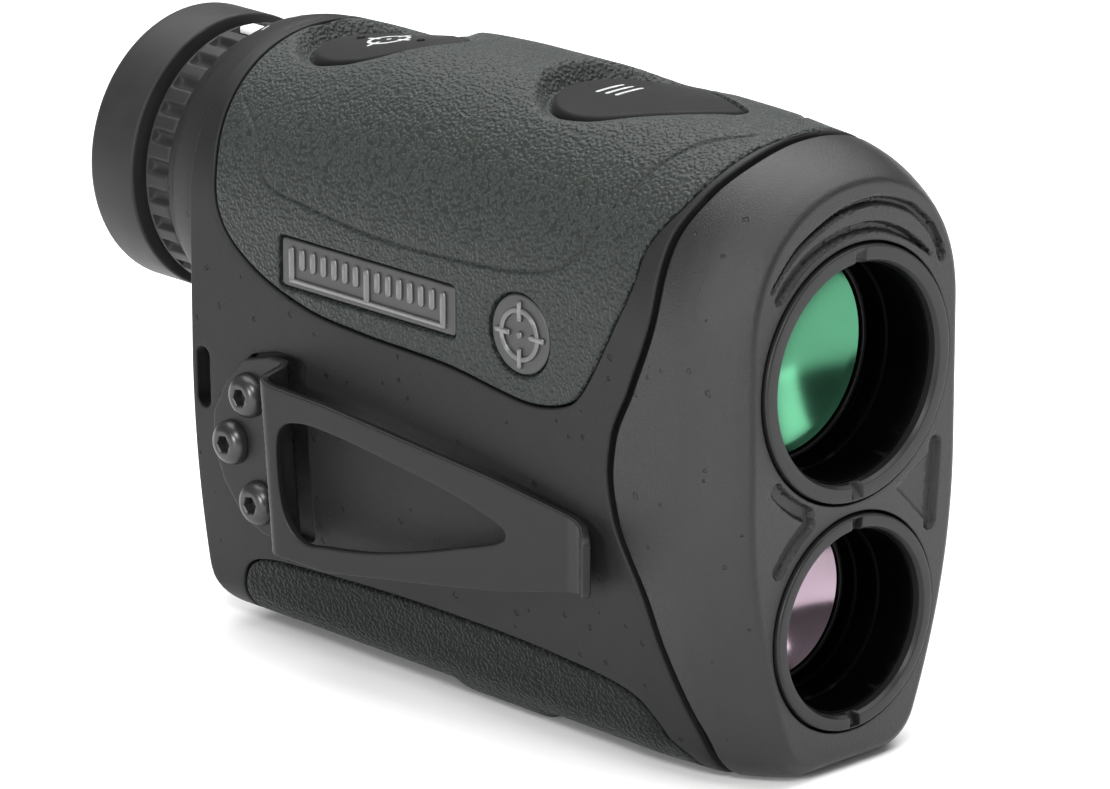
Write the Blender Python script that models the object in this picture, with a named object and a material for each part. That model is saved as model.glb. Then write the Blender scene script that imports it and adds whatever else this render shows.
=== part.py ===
"""Handheld laser rangefinder: one-hand upright body with a viewing lens over a laser lens.

Lengths are millimetres in the named sizes below and become metres in the meshes.
Housing coordinates: x = 0 at the flat nose face and negative towards the eyepiece, y = 0 on the
middle plane with the belt clip on the -Y side, z = 0 under the nose. Everything hangs on one empty
that moves this origin to the middle of the whole object's footprint.
"""

import math

import bmesh
import bpy
from mathutils import Vector

MM = 0.001
GAP = 0.3                    # clearance left between neighbouring solids

# Driving dimensions
LENGTH = 114.3               # nose face to the back rim of the eyecup
BODY_HALF_WIDTH = 20.4
ARCH_Z = 51.7                # where the straight sides turn into the rounded top
RIDGE_Z = 74.2               # highest line of the body
FLARE_Z = 34.0               # below this height the sides taper inwards
BEZEL_PROUD = 0.5            # bezels stand this far in front of the nose face
UPPER_Z = 46.3               # viewing lens axis
LOWER_Z = 16.15              # laser lens axis
EYEPIECE_Z = 51.6            # eyepiece axis
BATTERY_Z = 17.0             # battery axis
REAR_X = -92.2               # back face of the housing
HEEL = 6.5                   # radius of the heel under the back face
HEEL_Z = 5.5
GRIP_THICKNESS = 1.2
WALL = 2.4
CEILING_Z = 64.0             # flat roof of the interior
CAVITY_REAR_X = -86.5
CLIP_THICKNESS = 1.1
CLIP_REACH = 25.9            # outermost plane of the belt clip, from the middle plane
BUTTON_TRAVEL = 0.6
TRIPOD_X = -43.0
FEET_Z = -1.85                # plane the body stands on: boss face and lowest line of the nose

FRAME_X = (LENGTH - BEZEL_PROUD) / 2
FRAME_Y = (CLIP_REACH - BODY_HALF_WIDTH) / 2
FRAME_Z = -FEET_Z

# Body stations: x, half width, ridge height, inward taper at the foot, underside height
STATIONS = [
    (0.0, 16.9, 69.1, 5.3, -0.5),
    (-2.0, 18.1, 70.4, 4.9, -1.6),
    (-6.7, 19.9, 72.3, 4.0, -1.85),
    (-9.5, 20.3, 72.9, 3.4, -1.7),
    (-13.0, 20.4, 73.2, 2.9, -1.45),
    (-18.0, 20.4, 73.7, 2.4, -1.3),
    (-27.0, 20.4, 74.0, 2.4, -1.15),
    (-40.0, 20.4, RIDGE_Z, 2.4, -1.0),
    (-57.0, 20.4, RIDGE_Z, 2.4, -0.8),
    (-65.3, 20.4, 73.9, 2.4, -0.7),
    (-73.4, 20.4, 72.8, 2.4, -0.6),
    (-81.6, 20.4, 71.6, 2.4, -0.55),
    (-90.0, 20.4, 71.3, 2.4, -0.55),
    (-96.0, 20.4, 71.1, 2.4, -0.55),
]

# Side-view outlines (x, z), each followed from the top down or from the back forwards
SEAM = [(-8.7, 80.0), (-8.8, 72.5), (-10.4, 68.5), (-12.2, 63.1), (-12.6, 55.9), (-16.3, 45.2),
        (-19.2, 38.5), (-19.7, 34.4), (-18.9, 29.4), (-14.4, 20.0), (-12.7, 15.0), (-11.1, 10.8),
        (-9.6, 6.8), (-8.3, 3.3), (-7.6, -0.4), (-7.2, -5.0)]
UPPER_GRIP = [(-9.8, 80.0), (-10.6, 72.0), (-15.8, 62.0), (-16.7, 57.5), (-20.6, 49.5), (-25.2, 42.2),
              (-27.5, 40.8), (-32.7, 39.8), (-47.0, 41.4), (-62.2, 42.0), (-71.6, 43.0),
              (-81.2, 46.4), (-86.3, 50.8), (-88.0, 58.4), (-89.2, 66.0), (-89.8, 80.0)]
LOWER_GRIP = [(-85.7, -5.0), (-85.7, 4.0), (-84.4, 6.6), (-81.5, 7.9), (-72.0, 8.7), (-53.0, 9.3),
              (-30.7, 8.7), (-17.6, 6.8), (-14.8, 4.4), (-13.2, 2.4), (-11.1, 0.6), (-9.4, -5.0)]
CLIP_BASE = [(-72.6, 36.0), (-76.5, 36.0), (-80.8, 34.8), (-84.2, 31.5), (-86.6, 27.0),
             (-86.8, 22.8), (-84.9, 18.4), (-81.6, 14.6), (-78.0, 13.2), (-72.6, 13.0)]
CLIP_ARM = [(-72.0, 13.0), (-63.4, 12.6), (-49.6, 14.5), (-36.5, 16.4), (-21.1, 20.1), (-15.0, 20.1),
            (-15.0, 26.5), (-20.6, 29.8), (-36.4, 31.5), (-49.5, 32.6), (-63.3, 34.2), (-72.0, 34.5)]
CLIP_WINDOW = [(-67.8, 30.4), (-70.6, 29.0), (-71.0, 24.0), (-69.6, 18.0), (-67.0, 15.6),
               (-63.0, 15.8), (-55.0, 16.9), (-42.6, 20.3), (-34.5, 23.3), (-34.5, 24.2),
               (-39.6, 26.2), (-51.8, 28.7)]
PLATE = (-75.7, -45.6, 45.0, 51.0)          # side plate: back, front, low, high
EMBLEM = (-34.6, 47.7, 4.8)                 # side disc: x, z, radius
SCREW_PLACES = [(-80.1, 30.4), (-83.1, 23.8), (-78.4, 17.1)]

# Buttons: back end x, tip x, half width, height at the back end, height at the tip, pocket floor
MEASURE_BUTTON = (-87.7, -65.0, 9.0, 69.7, 73.3, 66.2)
MENU_BUTTON = (-46.0, -18.6, 9.6, 72.1, 73.9, 68.0)

MATERIALS = {
    # name: colour, roughness, metallic
    "housing_polymer": ((0.060, 0.062, 0.064), 0.55, 0.0),
    "nose_polymer": ((0.075, 0.078, 0.080), 0.50, 0.0),
    "grip_rubber": ((0.040, 0.050, 0.044), 0.75, 0.0),
    "eyecup_rubber": ((0.035, 0.036, 0.038), 0.65, 0.0),
    "button_rubber": ((0.040, 0.041, 0.042), 0.60, 0.0),
    "seal_rubber": ((0.010, 0.010, 0.010), 0.70, 0.0),
    "bezel_metal": ((0.020, 0.020, 0.021), 0.35, 0.6),
    "barrel_black": ((0.010, 0.010, 0.010), 0.55, 0.2),
    "clip_steel": ((0.060, 0.062, 0.064), 0.45, 0.6),
    "screw_steel": ((0.090, 0.090, 0.092), 0.35, 0.9),
    "plate_metal": ((0.120, 0.122, 0.125), 0.40, 0.8),
    "index_white": ((0.800, 0.800, 0.800), 0.50, 0.0),
    "green_coated_glass": ((0.100, 0.450, 0.300), 0.05, 0.0),
    "pink_coated_glass": ((0.450, 0.300, 0.430), 0.05, 0.0),
    "optical_glass": ((0.700, 0.760, 0.780), 0.03, 0.0),
    "frame_alloy": ((0.350, 0.355, 0.360), 0.45, 0.9),
    "circuit_board": ((0.020, 0.180, 0.070), 0.50, 0.0),
    "component_metal": ((0.550, 0.550, 0.560), 0.35, 0.9),
    "battery_wrap": ((0.100, 0.100, 0.110), 0.35, 0.2),
    "insert_brass": ((0.600, 0.440, 0.180), 0.35, 1.0),
    "spring_steel": ((0.600, 0.600, 0.610), 0.30, 1.0),
}


# ---------------------------------------------------------------- making objects

def clear_scene():
    for item in list(bpy.data.objects):
        bpy.data.objects.remove(item, do_unlink=True)


def make_materials():
    made = {}
    for name, (colour, roughness, metallic) in MATERIALS.items():
        material = bpy.data.materials.new(name)
        material.use_nodes = True
        shader = material.node_tree.nodes["Principled BSDF"]
        shader.inputs["Base Color"].default_value = (*colour, 1.0)
        shader.inputs["Roughness"].default_value = roughness
        shader.inputs["Metallic"].default_value = metallic
        made[name] = material
    return made


def make_object(name, points, faces, material, pivot=(0.0, 0.0, 0.0)):
    """Object from points in housing millimetres, with its origin at the pivot."""
    pivot = Vector(pivot)
    mesh = bpy.data.meshes.new(name)
    mesh.from_pydata([(Vector(point) - pivot) * MM for point in points], [], faces)
    mesh.validate()
    work = bmesh.new()
    work.from_mesh(mesh)
    bmesh.ops.recalc_face_normals(work, faces=work.faces)
    work.to_mesh(mesh)
    work.free()
    item = bpy.data.objects.new(name, mesh)
    bpy.context.scene.collection.objects.link(item)
    item.parent = FRAME
    item.location = pivot * MM
    if material:
        mesh.materials.append(SHADES[material])
    mesh.shade_smooth()
    mesh.set_sharp_from_angle(angle=math.radians(35))
    return item


def cutter(name, points, faces):
    """Helper solid used only by Boolean modifiers."""
    item = make_object("cut_" + name, points, faces, None)
    item.hide_render = True
    item.display_type = "WIRE"
    return item


def combine(item, other, operation):
    step = item.modifiers.new(operation.lower(), "BOOLEAN")
    step.operation = operation
    step.object = other
    step.solver = "EXACT"


def cut(item, *others):
    for other in others:
        combine(item, other, "DIFFERENCE")


def keep_inside(item, other):
    combine(item, other, "INTERSECT")


def join(item, *others):
    for other in others:
        combine(item, other, "UNION")


# ---------------------------------------------------------------- shapes: points and faces

def ring_faces(rings, count, closed=False):
    faces = []
    pairs = rings if closed else rings - 1
    for ring in range(pairs):
        following = (ring + 1) % rings
        for k in range(count):
            after = (k + 1) % count
            faces.append((ring * count + k, ring * count + after,
                          following * count + after, following * count + k))
    return faces


def stack(rings):
    """Closed solid through rings with the same number of points, with flat end caps."""
    count = len(rings[0])
    points = [point for ring in rings for point in ring]
    faces = ring_faces(len(rings), count)
    faces.append(tuple(range(count)))
    faces.append(tuple(range(len(points) - count, len(points))))
    return points, faces


def prism_y(outline, y_low, y_high):
    return stack([[(x, y, z) for x, z in outline] for y in (y_low, y_high)])


def prism_z(outline, z_low, z_high):
    return stack([[(x, y, z) for x, y in outline] for z in (z_low, z_high)])


def prism_x(outline, x_low, x_high):
    return stack([[(x, y, z) for y, z in outline] for x in (x_low, x_high)])


def block(x_low, x_high, y_low, y_high, z_low, z_high):
    outline = [(x_low, y_low), (x_high, y_low), (x_high, y_high), (x_low, y_high)]
    return prism_z(outline, z_low, z_high)


def circle(radius, count, first=0.0, second=0.0, start=0.0):
    """Points of a regular outline round (first, second)."""
    return [(first + radius * math.cos(start + 2 * math.pi * k / count),
             second + radius * math.sin(start + 2 * math.pi * k / count)) for k in range(count)]


def rod_x(radius, x_low, x_high, z, y=0.0, count=24):
    return prism_x(circle(radius, count, y, z), x_low, x_high)


def rod_y(radius, y_low, y_high, x, z, count=16, start=0.0):
    return prism_y(circle(radius, count, x, z, start), y_low, y_high)


def rod_z(radius, z_low, z_high, x, y=0.0, count=20):
    return prism_z(circle(radius, count, x, y), z_low, z_high)


def turned(profile, z, count=32):
    """Ring turned round the line y = 0 at height z, from a closed (x, radius) profile."""
    points = []
    for x, radius in profile:
        points += [(x, y, z + up) for y, up in circle(radius, count)]
    return points, ring_faces(len(profile), count, closed=True)


def tube(x_low, x_high, inner, outer, z, count=24):
    return turned([(x_low, inner), (x_low, outer), (x_high, outer), (x_high, inner)], z, count)


def lens(x_front, thickness, bulge_front, bulge_back, radius, z, count=24, steps=2):
    """Disc with two spherical-looking faces; a bulge may be negative for a hollow face."""
    rings = []
    for k in range(1, steps + 1):
        share = k / steps
        rings.append((x_front + bulge_front * (1 - share ** 2), radius * share))
    for k in range(steps, 0, -1):
        share = k / steps
        rings.append((x_front - thickness - bulge_back * (1 - share ** 2), radius * share))
    return stack([[(x, y, z + up) for y, up in circle(size, count)] for x, size in rings])


def grow(outline, distance):
    """Outline moved outwards by a distance, whichever way round it runs."""
    turn = sum(a[0] * b[1] - b[0] * a[1] for a, b in zip(outline, outline[1:] + outline[:1]))
    side = distance if turn > 0 else -distance
    moved = []
    for k, here in enumerate(outline):
        here = Vector(here)
        before = (here - Vector(outline[k - 1])).normalized()
        after = (Vector(outline[(k + 1) % len(outline)]) - here).normalized()
        normal = Vector((before.y + after.y, -before.x - after.x)).normalized()
        reach = side / max(0.35, normal.dot(Vector((after.y, -after.x))))
        moved.append(tuple(here + normal * reach))
    return moved


# ---------------------------------------------------------------- the body's outer form

def foot_half_width(half_width, taper, z):
    """Half width of the tapering side at a height below the flare line."""
    drop = max(0.0, (FLARE_Z - z) / 28.5)
    return half_width - taper * drop ** 2


def section(station, inset=0.0, roof=None):
    """Closed outline of the body at one station, moved inwards by an inset."""
    x, half_width, ridge, taper, under = station
    width = half_width - inset
    top = ridge - inset
    floor = under + inset
    corner = max(1.5, 5.5 - inset)
    knee = floor + corner
    foot = foot_half_width(width, taper, knee)
    half = [(0.0, floor), (foot - corner, floor)]
    for angle in (22.5, 45.0, 67.5):
        turn = math.radians(angle)
        half.append((foot - corner + corner * math.sin(turn), knee - corner * math.cos(turn)))
    half.append((foot, knee))
    for z in (12.0, 18.0, 25.0, FLARE_Z, 43.0):
        half.append((foot_half_width(width, taper, z), z))
    bulge = 2 / 2.15
    for angle in range(0, 90, 15):
        turn = math.radians(angle)
        half.append((width * math.cos(turn) ** bulge, ARCH_Z + (top - ARCH_Z) * math.sin(turn) ** bulge))
    half.append((0.0, top))
    if roof is not None:
        half = [(y, min(z, roof)) for y, z in half]
    other = [(-y, z) for y, z in half[-2:0:-1]]
    return [(x, y, z) for y, z in half + other]


def body_solid(inset=0.0, x_front=None, x_back=None, roof=None):
    """Body form between two x positions; stations beyond them are left out."""
    front = STATIONS[0][0] if x_front is None else x_front
    back = STATIONS[-1][0] if x_back is None else x_back
    inner = [s for s in STATIONS if back < s[0] < front]
    chosen = [station_at(front), *inner, station_at(back)]
    return stack([section(station, inset, roof) for station in chosen])


def station_at(x):
    """Station in between the listed ones, or the end one carried on straight."""
    if x >= STATIONS[0][0]:
        return (x, *STATIONS[0][1:])
    for near, far in zip(STATIONS, STATIONS[1:]):
        if far[0] <= x <= near[0]:
            share = (x - near[0]) / (far[0] - near[0])
            return tuple(a + (b - a) * share for a, b in zip(near, far))
    return (x, *STATIONS[-1][1:])


def nose_region(shift):
    """Everything in front of the seam, as a solid across the whole width."""
    edge = [(x + shift, z) for x, z in SEAM]
    return prism_y(edge + [(9.0, -5.0), (9.0, 80.0)], -30.0, 30.0)


def rear_trim():
    """Everything behind the upright back face with its rounded heel."""
    heel_x = REAR_X + HEEL
    heel = [(heel_x - HEEL * math.sin(math.radians(a)), HEEL_Z - HEEL * math.cos(math.radians(a)))
            for a in (0, 30, 60, 90)]
    edge = [(heel_x, -6.0), *heel, (REAR_X, 82.0)]
    return prism_y(edge + [(-104.0, 82.0), (-104.0, -6.0)], -30.0, 30.0)


def recess(name, outline, depth):
    """Solid that removes the body's skin to a depth inside a side-view outline."""
    slab = cutter(name, *prism_y(grow(outline, GAP), -30.0, 30.0))
    core = cutter(name + "_core", *body_solid(inset=depth, x_front=6.0, x_back=-99.0))
    cut(slab, core)
    return slab


# ---------------------------------------------------------------- buttons

def teardrop(back, tip, half_width, growth=0.0):
    """Outline (x, y) with a round back end and a narrow front end."""
    centre = back + half_width
    radius = half_width + growth
    nose = 1.3 + growth
    nose_centre = tip - 1.3
    lean = math.acos((radius - nose) / (nose_centre - centre))
    points = []
    for k in range(13):
        angle = lean + (2 * math.pi - 2 * lean) * k / 12
        points.append((centre + radius * math.cos(angle), radius * math.sin(angle)))
    for k in range(5):
        angle = -lean + 2 * lean * k / 4
        points.append((nose_centre + nose * math.cos(angle), nose * math.sin(angle)))
    return points


def button_top(button, x, y):
    back, tip, half_width, back_z, tip_z, _ = button
    along = (x - back) / (tip - back)
    return back_z + (tip_z - back_z) * along - 1.2 * (y / half_width) ** 2


def make_button(name, button, stem_x):
    """Arched teardrop cap with a stem that reaches the switch below."""
    back, tip, half_width, _, _, pocket_floor = button
    outline = teardrop(back, tip, half_width)
    centre = (back + half_width + 1.5, 0.0)
    under = pocket_floor + 1.0
    rings = [[(x, y, under) for x, y in outline]]
    for share, drop in ((1.0, 0.35), (0.94, 0.0), (0.6, 0.0), (0.25, 0.0)):
        ring = []
        for x, y in outline:
            px = centre[0] + (x - centre[0]) * share
            py = y * share
            ring.append((px, py, max(under + 0.3, button_top(button, px, py) - drop)))
        rings.append(ring)
    item = make_object(name, *stack(rings), "button_rubber", pivot=(stem_x, 0.0, under))
    stem = cutter(name + "_stem", *rod_z(1.4, SWITCH_TOP_Z + BUTTON_TRAVEL + 0.1, under + 0.4, stem_x, count=12))
    join(item, stem)
    return item


def button_pocket(name, button, stem_x):
    """Well for one button, with the hole its stem runs through."""
    back, tip, half_width, _, _, pocket_floor = button
    well = cutter(name, *prism_z(teardrop(back, tip, half_width, GAP + 0.05), pocket_floor, 82.0))
    join(well, cutter(name + "_hole", *rod_z(1.8, CEILING_Z - 2.0, pocket_floor + 0.4, stem_x, count=12)))
    return well


# ---------------------------------------------------------------- housing group

def make_housing(pockets):
    housing = make_object("main_housing", *body_solid(), "housing_polymer")
    cut(housing,
        cutter("nose_side", *nose_region(-0.5)),
        cutter("rear_side", *rear_trim()),
        recess("upper_recess", UPPER_GRIP, GRIP_THICKNESS + GAP),
        recess("lower_recess", LOWER_GRIP, GRIP_THICKNESS + GAP),
        cutter("interior", *body_solid(inset=WALL + 0.6, x_front=6.0, x_back=CAVITY_REAR_X, roof=CEILING_Z)))
    join(housing, cutter("boss", *rod_z(7.6, FEET_Z, 7.2, TRIPOD_X)))
    cut(housing,
        cutter("insert_hole", *rod_z(6.3, FEET_Z - 1.0, 8.2, TRIPOD_X)),
        cutter("tube_bore", *rod_x(13.5, -94.0, -88.0, EYEPIECE_Z, count=32)),
        cutter("tube_neck_bore", *rod_x(9.8, -89.0, -85.0, EYEPIECE_Z)),
        cutter("battery_bore", *rod_x(9.6, -89.0, -85.0, BATTERY_Z)),
        cutter("cap_seat", *rod_x(11.6, -95.0, -88.0, BATTERY_Z)),
        cutter("lanyard_channel", *lanyard_channel()),
        cutter("clip_seat", *prism_y(grow(CLIP_BASE, GAP), -30.0, -19.2)))
    for number, (x, z) in enumerate(SCREW_PLACES, 1):
        cut(housing, cutter(f"screw_hole_{number}", *rod_y(1.8, -22.0, -14.0, x, z, count=12)))
    cut(housing, *pockets)
    return housing


def lanyard_channel():
    """Slot that turns round the back corner and leaves a bar for a cord."""
    inner = circle(1.9, 16, -93.0, -20.6)
    outer = circle(4.4, 16, -93.0, -20.6)
    points = []
    for ring, z in ((inner, 26.3), (outer, 26.3), (outer, 34.0), (inner, 34.0)):
        points += [(x, y, z) for x, y in ring]
    return points, ring_faces(4, 16, closed=True)


def make_nose():
    nose = make_object("nose_cover", *body_solid(x_back=-26.0), "nose_polymer")
    keep_inside(nose, cutter("nose_half", *nose_region(0.5)))
    cut(nose,
        cutter("nose_interior", *body_solid(inset=WALL + 0.6, x_front=-6.5, x_back=-30.0, roof=CEILING_Z + 2.0)),
        cutter("upper_seat", *rod_x(15.6, -3.8, 3.0, UPPER_Z, count=32)),
        cutter("upper_bore", *rod_x(14.9, -9.0, -3.0, UPPER_Z, count=32)),
        cutter("lower_seat", *rod_x(13.3, -3.8, 3.0, LOWER_Z, count=32)),
        cutter("lower_bore", *rod_x(12.6, -9.0, -3.0, LOWER_Z, count=32)))
    return nose


def make_seal():
    """Thin gasket set back in the seam between the nose and the housing."""
    seal = make_object("nose_seal", *body_solid(inset=0.9, x_back=-26.0), "seal_rubber")
    keep_inside(seal, cutter("seal_front", *nose_region(-0.2)))
    cut(seal,
        cutter("seal_ahead", *nose_region(0.2)),
        cutter("seal_inside", *body_solid(inset=WALL, x_front=6.0, x_back=-30.0)))
    return seal


def make_upper_grip(pockets):
    grip = make_object("upper_grip", *body_solid(x_back=-95.0), "grip_rubber")
    keep_inside(grip, cutter("grip_outline", *prism_y(UPPER_GRIP, -30.0, 30.0)))
    back, front, low, high = PLATE
    emblem_x, emblem_z, emblem_radius = EMBLEM
    cut(grip,
        cutter("grip_core", *body_solid(inset=GRIP_THICKNESS, x_front=6.0, x_back=-99.0)),
        *pockets,
        cutter("plate_window", *block(back - GAP, front + GAP, -24.0, -15.0, low - GAP, high + GAP)),
        cutter("emblem_window", *rod_y(emblem_radius + GAP, -24.0, -15.0, emblem_x, emblem_z, count=28)))
    return grip


def make_lower_grip():
    grip = make_object("lower_grip", *body_solid(x_back=-95.0), "grip_rubber")
    keep_inside(grip, cutter("pad_outline", *prism_y(LOWER_GRIP, -30.0, 30.0)))
    cut(grip,
        cutter("pad_core", *body_solid(inset=GRIP_THICKNESS, x_front=6.0, x_back=-99.0)),
        cutter("boss_opening", *rod_z(7.6 + GAP, -4.0, 9.0, TRIPOD_X)))
    return grip


def make_side_marks():
    back, front, low, high = PLATE
    make_object("side_plate", *block(back, front, -20.1, -19.25, low, high), "plate_metal")
    emblem_x, emblem_z, emblem_radius = EMBLEM
    make_object("side_emblem", *rod_y(emblem_radius, -20.1, -19.25, emblem_x, emblem_z, count=28),
                "plate_metal")


def make_tripod_insert():
    insert = make_object("tripod_insert", *rod_z(6.0, FEET_Z + 0.2, FEET_Z + 8.2, TRIPOD_X), "insert_brass")
    cut(insert, cutter("tripod_thread", *rod_z(3.3, FEET_Z - 1.0, FEET_Z + 7.8, TRIPOD_X)))


def make_optics_frame():
    """Plate across the interior that carries both barrels behind the nose."""
    outline = [(-15.4, 30.0), (-14.2, 11.0), (-8.0, 4.3), (8.0, 4.3), (14.2, 11.0), (15.4, 30.0),
               (15.8, 54.0), (13.0, 60.9), (-13.0, 60.9), (-15.8, 54.0)]
    plate = make_object("optics_frame", *prism_x(outline, -30.0, -27.5), "frame_alloy")
    cut(plate,
        cutter("frame_upper", *rod_x(13.9, -33.0, -24.0, UPPER_Z)),
        cutter("frame_lower", *rod_x(11.1, -33.0, -24.0, LOWER_Z)))
    for number, y in enumerate((-12.6, 12.6), 1):
        cut(plate, cutter(f"frame_screw_hole_{number}", *rod_x(1.3, -33.0, -24.0, 30.5, y, count=12)))
        screw = make_object(f"frame_screw_{number}", *rod_x(1.0, -31.5, -25.5, 30.5, y, count=12),
                            "screw_steel")
        join(screw, cutter(f"frame_screw_head_{number}", *rod_x(2.0, -27.2, -25.6, 30.5, y, count=12)))


# ---------------------------------------------------------------- lenses and light path

def bezel(name, radius, inner, z):
    """Front ring with two spanner notches."""
    front = BEZEL_PROUD
    profile = [(-3.5, inner), (-3.5, radius), (front - 0.5, radius), (front, radius - 0.5),
               (front, inner + 1.1), (front - 1.2, inner + 0.5), (-2.0, inner)]
    ring = make_object(name, *turned(profile, z), "bezel_metal")
    for number, side in enumerate((-1, 1), 1):
        middle = z + side * (inner + 0.9)
        cut(ring, cutter(f"{name}_notch_{number}", *block(-0.9, 3.0, -0.8, 0.8, middle - 1.1, middle + 1.1)))


def make_upper_optics():
    bezel("upper_bezel", 15.3, 12.6, UPPER_Z)
    profile = [(-38.0, 12.5), (-38.0, 13.6), (-8.4, 13.6), (-8.4, 14.6), (-3.8, 14.6), (-3.8, 13.2),
               (-7.5, 13.2), (-7.5, 12.9), (-16.5, 12.9), (-16.5, 12.5)]
    make_object("upper_barrel", *turned(profile, UPPER_Z), "barrel_black")
    make_object("objective_front_lens", *lens(-13.0, 2.6, 1.7, 0.6, 12.6, UPPER_Z), "green_coated_glass")
    make_object("objective_spacer", *tube(-21.5, -16.9, 11.0, 12.2, UPPER_Z), "barrel_black")
    make_object("objective_rear_lens", *lens(-22.2, 1.8, -0.8, 0.5, 12.2, UPPER_Z), "optical_glass")


def make_prisms():
    """Tray with two uprights that holds the beam splitter and the roof prism."""
    tray_outline = [(-9.6, 36.8), (9.6, 36.8), (9.6, 56.0), (8.2, 56.0), (8.2, 38.2), (-8.2, 38.2),
                    (-8.2, 56.0), (-9.6, 56.0)]
    make_object("prism_holder", *prism_x(tray_outline, -66.0, -43.0), "frame_alloy")
    splitter = [(-44.0, 38.6), (-52.5, 38.6), (-52.5, 53.6), (-44.0, 53.6)]
    make_object("beam_splitter", *prism_y(splitter, -7.8, 7.8), "optical_glass")
    roof = [(-53.0, 38.6), (-65.0, 38.6), (-65.0, 50.0), (-58.0, 57.5), (-53.0, 53.0)]
    make_object("roof_prism", *prism_y(roof, -7.8, 7.8), "optical_glass")
    make_object("display_panel", *block(-68.4, -67.2, -7.0, 7.0, 44.6, 58.6), "optical_glass")


def make_lower_optics():
    bezel("lower_bezel", 13.0, 10.5, LOWER_Z)
    profile = [(-33.0, 9.7), (-33.0, 10.8), (-8.4, 10.8), (-8.4, 12.3), (-3.8, 12.3), (-3.8, 10.9),
               (-7.5, 10.9), (-7.5, 10.2), (-17.0, 10.2), (-17.0, 9.7)]
    make_object("lower_barrel", *turned(profile, LOWER_Z), "barrel_black")
    make_object("lower_lens", *lens(-13.6, 2.6, 1.9, 0.8, 9.9, LOWER_Z), "pink_coated_glass")
    make_object("sensor_board", *block(-41.2, -40.0, -8.5, 8.5, 9.6, 25.0), "circuit_board")
    make_object("light_sensor", *rod_x(3.0, -39.7, -36.5, LOWER_Z + 1.0, count=20), "component_metal")
    make_object("laser_diode", *rod_z(2.8, 30.0, 36.5, -47.0, count=20), "component_metal")


# ---------------------------------------------------------------- eyepiece

def make_eyepiece():
    collar = [(-92.5, 13.5), (-92.5, 19.7), (-94.5, 19.4), (-96.4, 18.9), (-97.8, 18.1), (-98.7, 17.4),
              (-99.9, 17.2), (-99.9, 13.5)]
    make_object("eyepiece_collar", *turned(collar, EYEPIECE_Z), "housing_polymer")
    main_tube = [(-70.0, 8.2), (-70.0, 9.4), (-88.3, 9.4), (-88.3, 13.2), (-112.4, 13.2),
                 (-112.4, 12.0), (-90.0, 12.0), (-90.0, 8.2)]
    make_object("eyepiece_tube", *turned(main_tube, EYEPIECE_Z), "barrel_black")
    make_object("field_lens", *lens(-80.0, 2.4, 0.9, 0.9, 7.9, EYEPIECE_Z), "optical_glass")
    pivot = (-102.0, 0.0, EYEPIECE_Z)
    cell = [(-95.0, 9.2), (-95.0, 11.7), (-109.0, 11.7), (-109.0, 10.6), (-98.6, 10.6), (-98.6, 9.2)]
    make_object("eyepiece_cell", *turned(cell, EYEPIECE_Z, 24), "barrel_black", pivot)
    make_object("eye_lens", *lens(-100.6, 3.2, 1.2, 1.0, 10.3, EYEPIECE_Z), "optical_glass", pivot)
    make_object("eye_lens_retainer", *tube(-107.6, -105.3, 8.9, 10.3, EYEPIECE_Z), "barrel_black", pivot)
    make_diopter_ring(pivot)
    make_object("eyecup_guide", *tube(-112.3, -106.3, 13.5, 14.6, EYEPIECE_Z), "barrel_black",
                (-109.0, 0.0, EYEPIECE_Z))
    cup = [(-106.0, 14.9), (-106.0, 17.0), (-106.5, 17.5), (-113.4, 17.5), (-114.0, 17.2), (-LENGTH, 16.4),
           (-LENGTH, 13.3), (-113.6, 12.8), (-112.7, 12.8), (-112.7, 14.9)]
    make_object("eyecup", *turned(cup, EYEPIECE_Z), "eyecup_rubber", (-110.0, 0.0, EYEPIECE_Z))


def make_diopter_ring(pivot):
    """Knurled focusing ring with one plain tooth that carries the index mark."""
    teeth = 28
    outer = []
    for k in range(teeth):
        middle = 2 * math.pi * k / teeth + math.pi / 2
        for offset, radius in ((-0.30, 16.1), (-0.22, 16.6), (0.22, 16.6), (0.30, 16.1)):
            angle = middle + offset * 2 * math.pi / teeth
            outer.append((radius * math.cos(angle), radius * math.sin(angle)))
    inner = []
    for y, up in outer:
        size = math.hypot(y, up)
        inner.append((y * 13.5 / size, up * 13.5 / size))
    points = []
    for ring, x in ((inner, -104.9), (outer, -104.9), (outer, -100.4), (inner, -100.4)):
        points += [(x, y, EYEPIECE_Z + up) for y, up in ring]
    ring = make_object("diopter_ring", points, ring_faces(4, len(outer), closed=True), "eyecup_rubber", pivot)
    seat_low = EYEPIECE_Z + 15.5
    cut(ring, cutter("index_seat", *block(-104.4, -100.9, -1.5, 1.5, seat_low, seat_low + 4.0)))
    make_object("diopter_index", *block(-104.1, -101.2, -1.2, 1.2, seat_low + GAP, EYEPIECE_Z + 16.6),
                "index_white", pivot)


# ---------------------------------------------------------------- controls and electronics

SWITCH_TOP_Z = 63.5
BOARD_Z = 61.4


def make_electronics():
    make_object("button_board", *block(-84.0, -31.0, -8.5, 8.5, BOARD_Z, BOARD_Z + 0.8), "circuit_board")
    for name, x in (("measure_switch", -77.0), ("menu_switch", -35.5)):
        make_object(name, *rod_z(2.5, BOARD_Z + 1.1, SWITCH_TOP_Z, x, count=16), "component_metal")
    make_object("main_board", *block(-78.0, -42.0, 12.6, 13.8, 10.0, 36.0), "circuit_board")
    ribbon = [(14.3, 32.0), (14.7, 32.0), (14.7, 59.0), (13.0, 61.6), (8.8, 61.9), (8.8, 61.5),
              (12.7, 61.2), (14.3, 58.8)]
    make_object("flex_cable", *prism_x(ribbon, -66.0, -58.0), "insert_brass")


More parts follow.
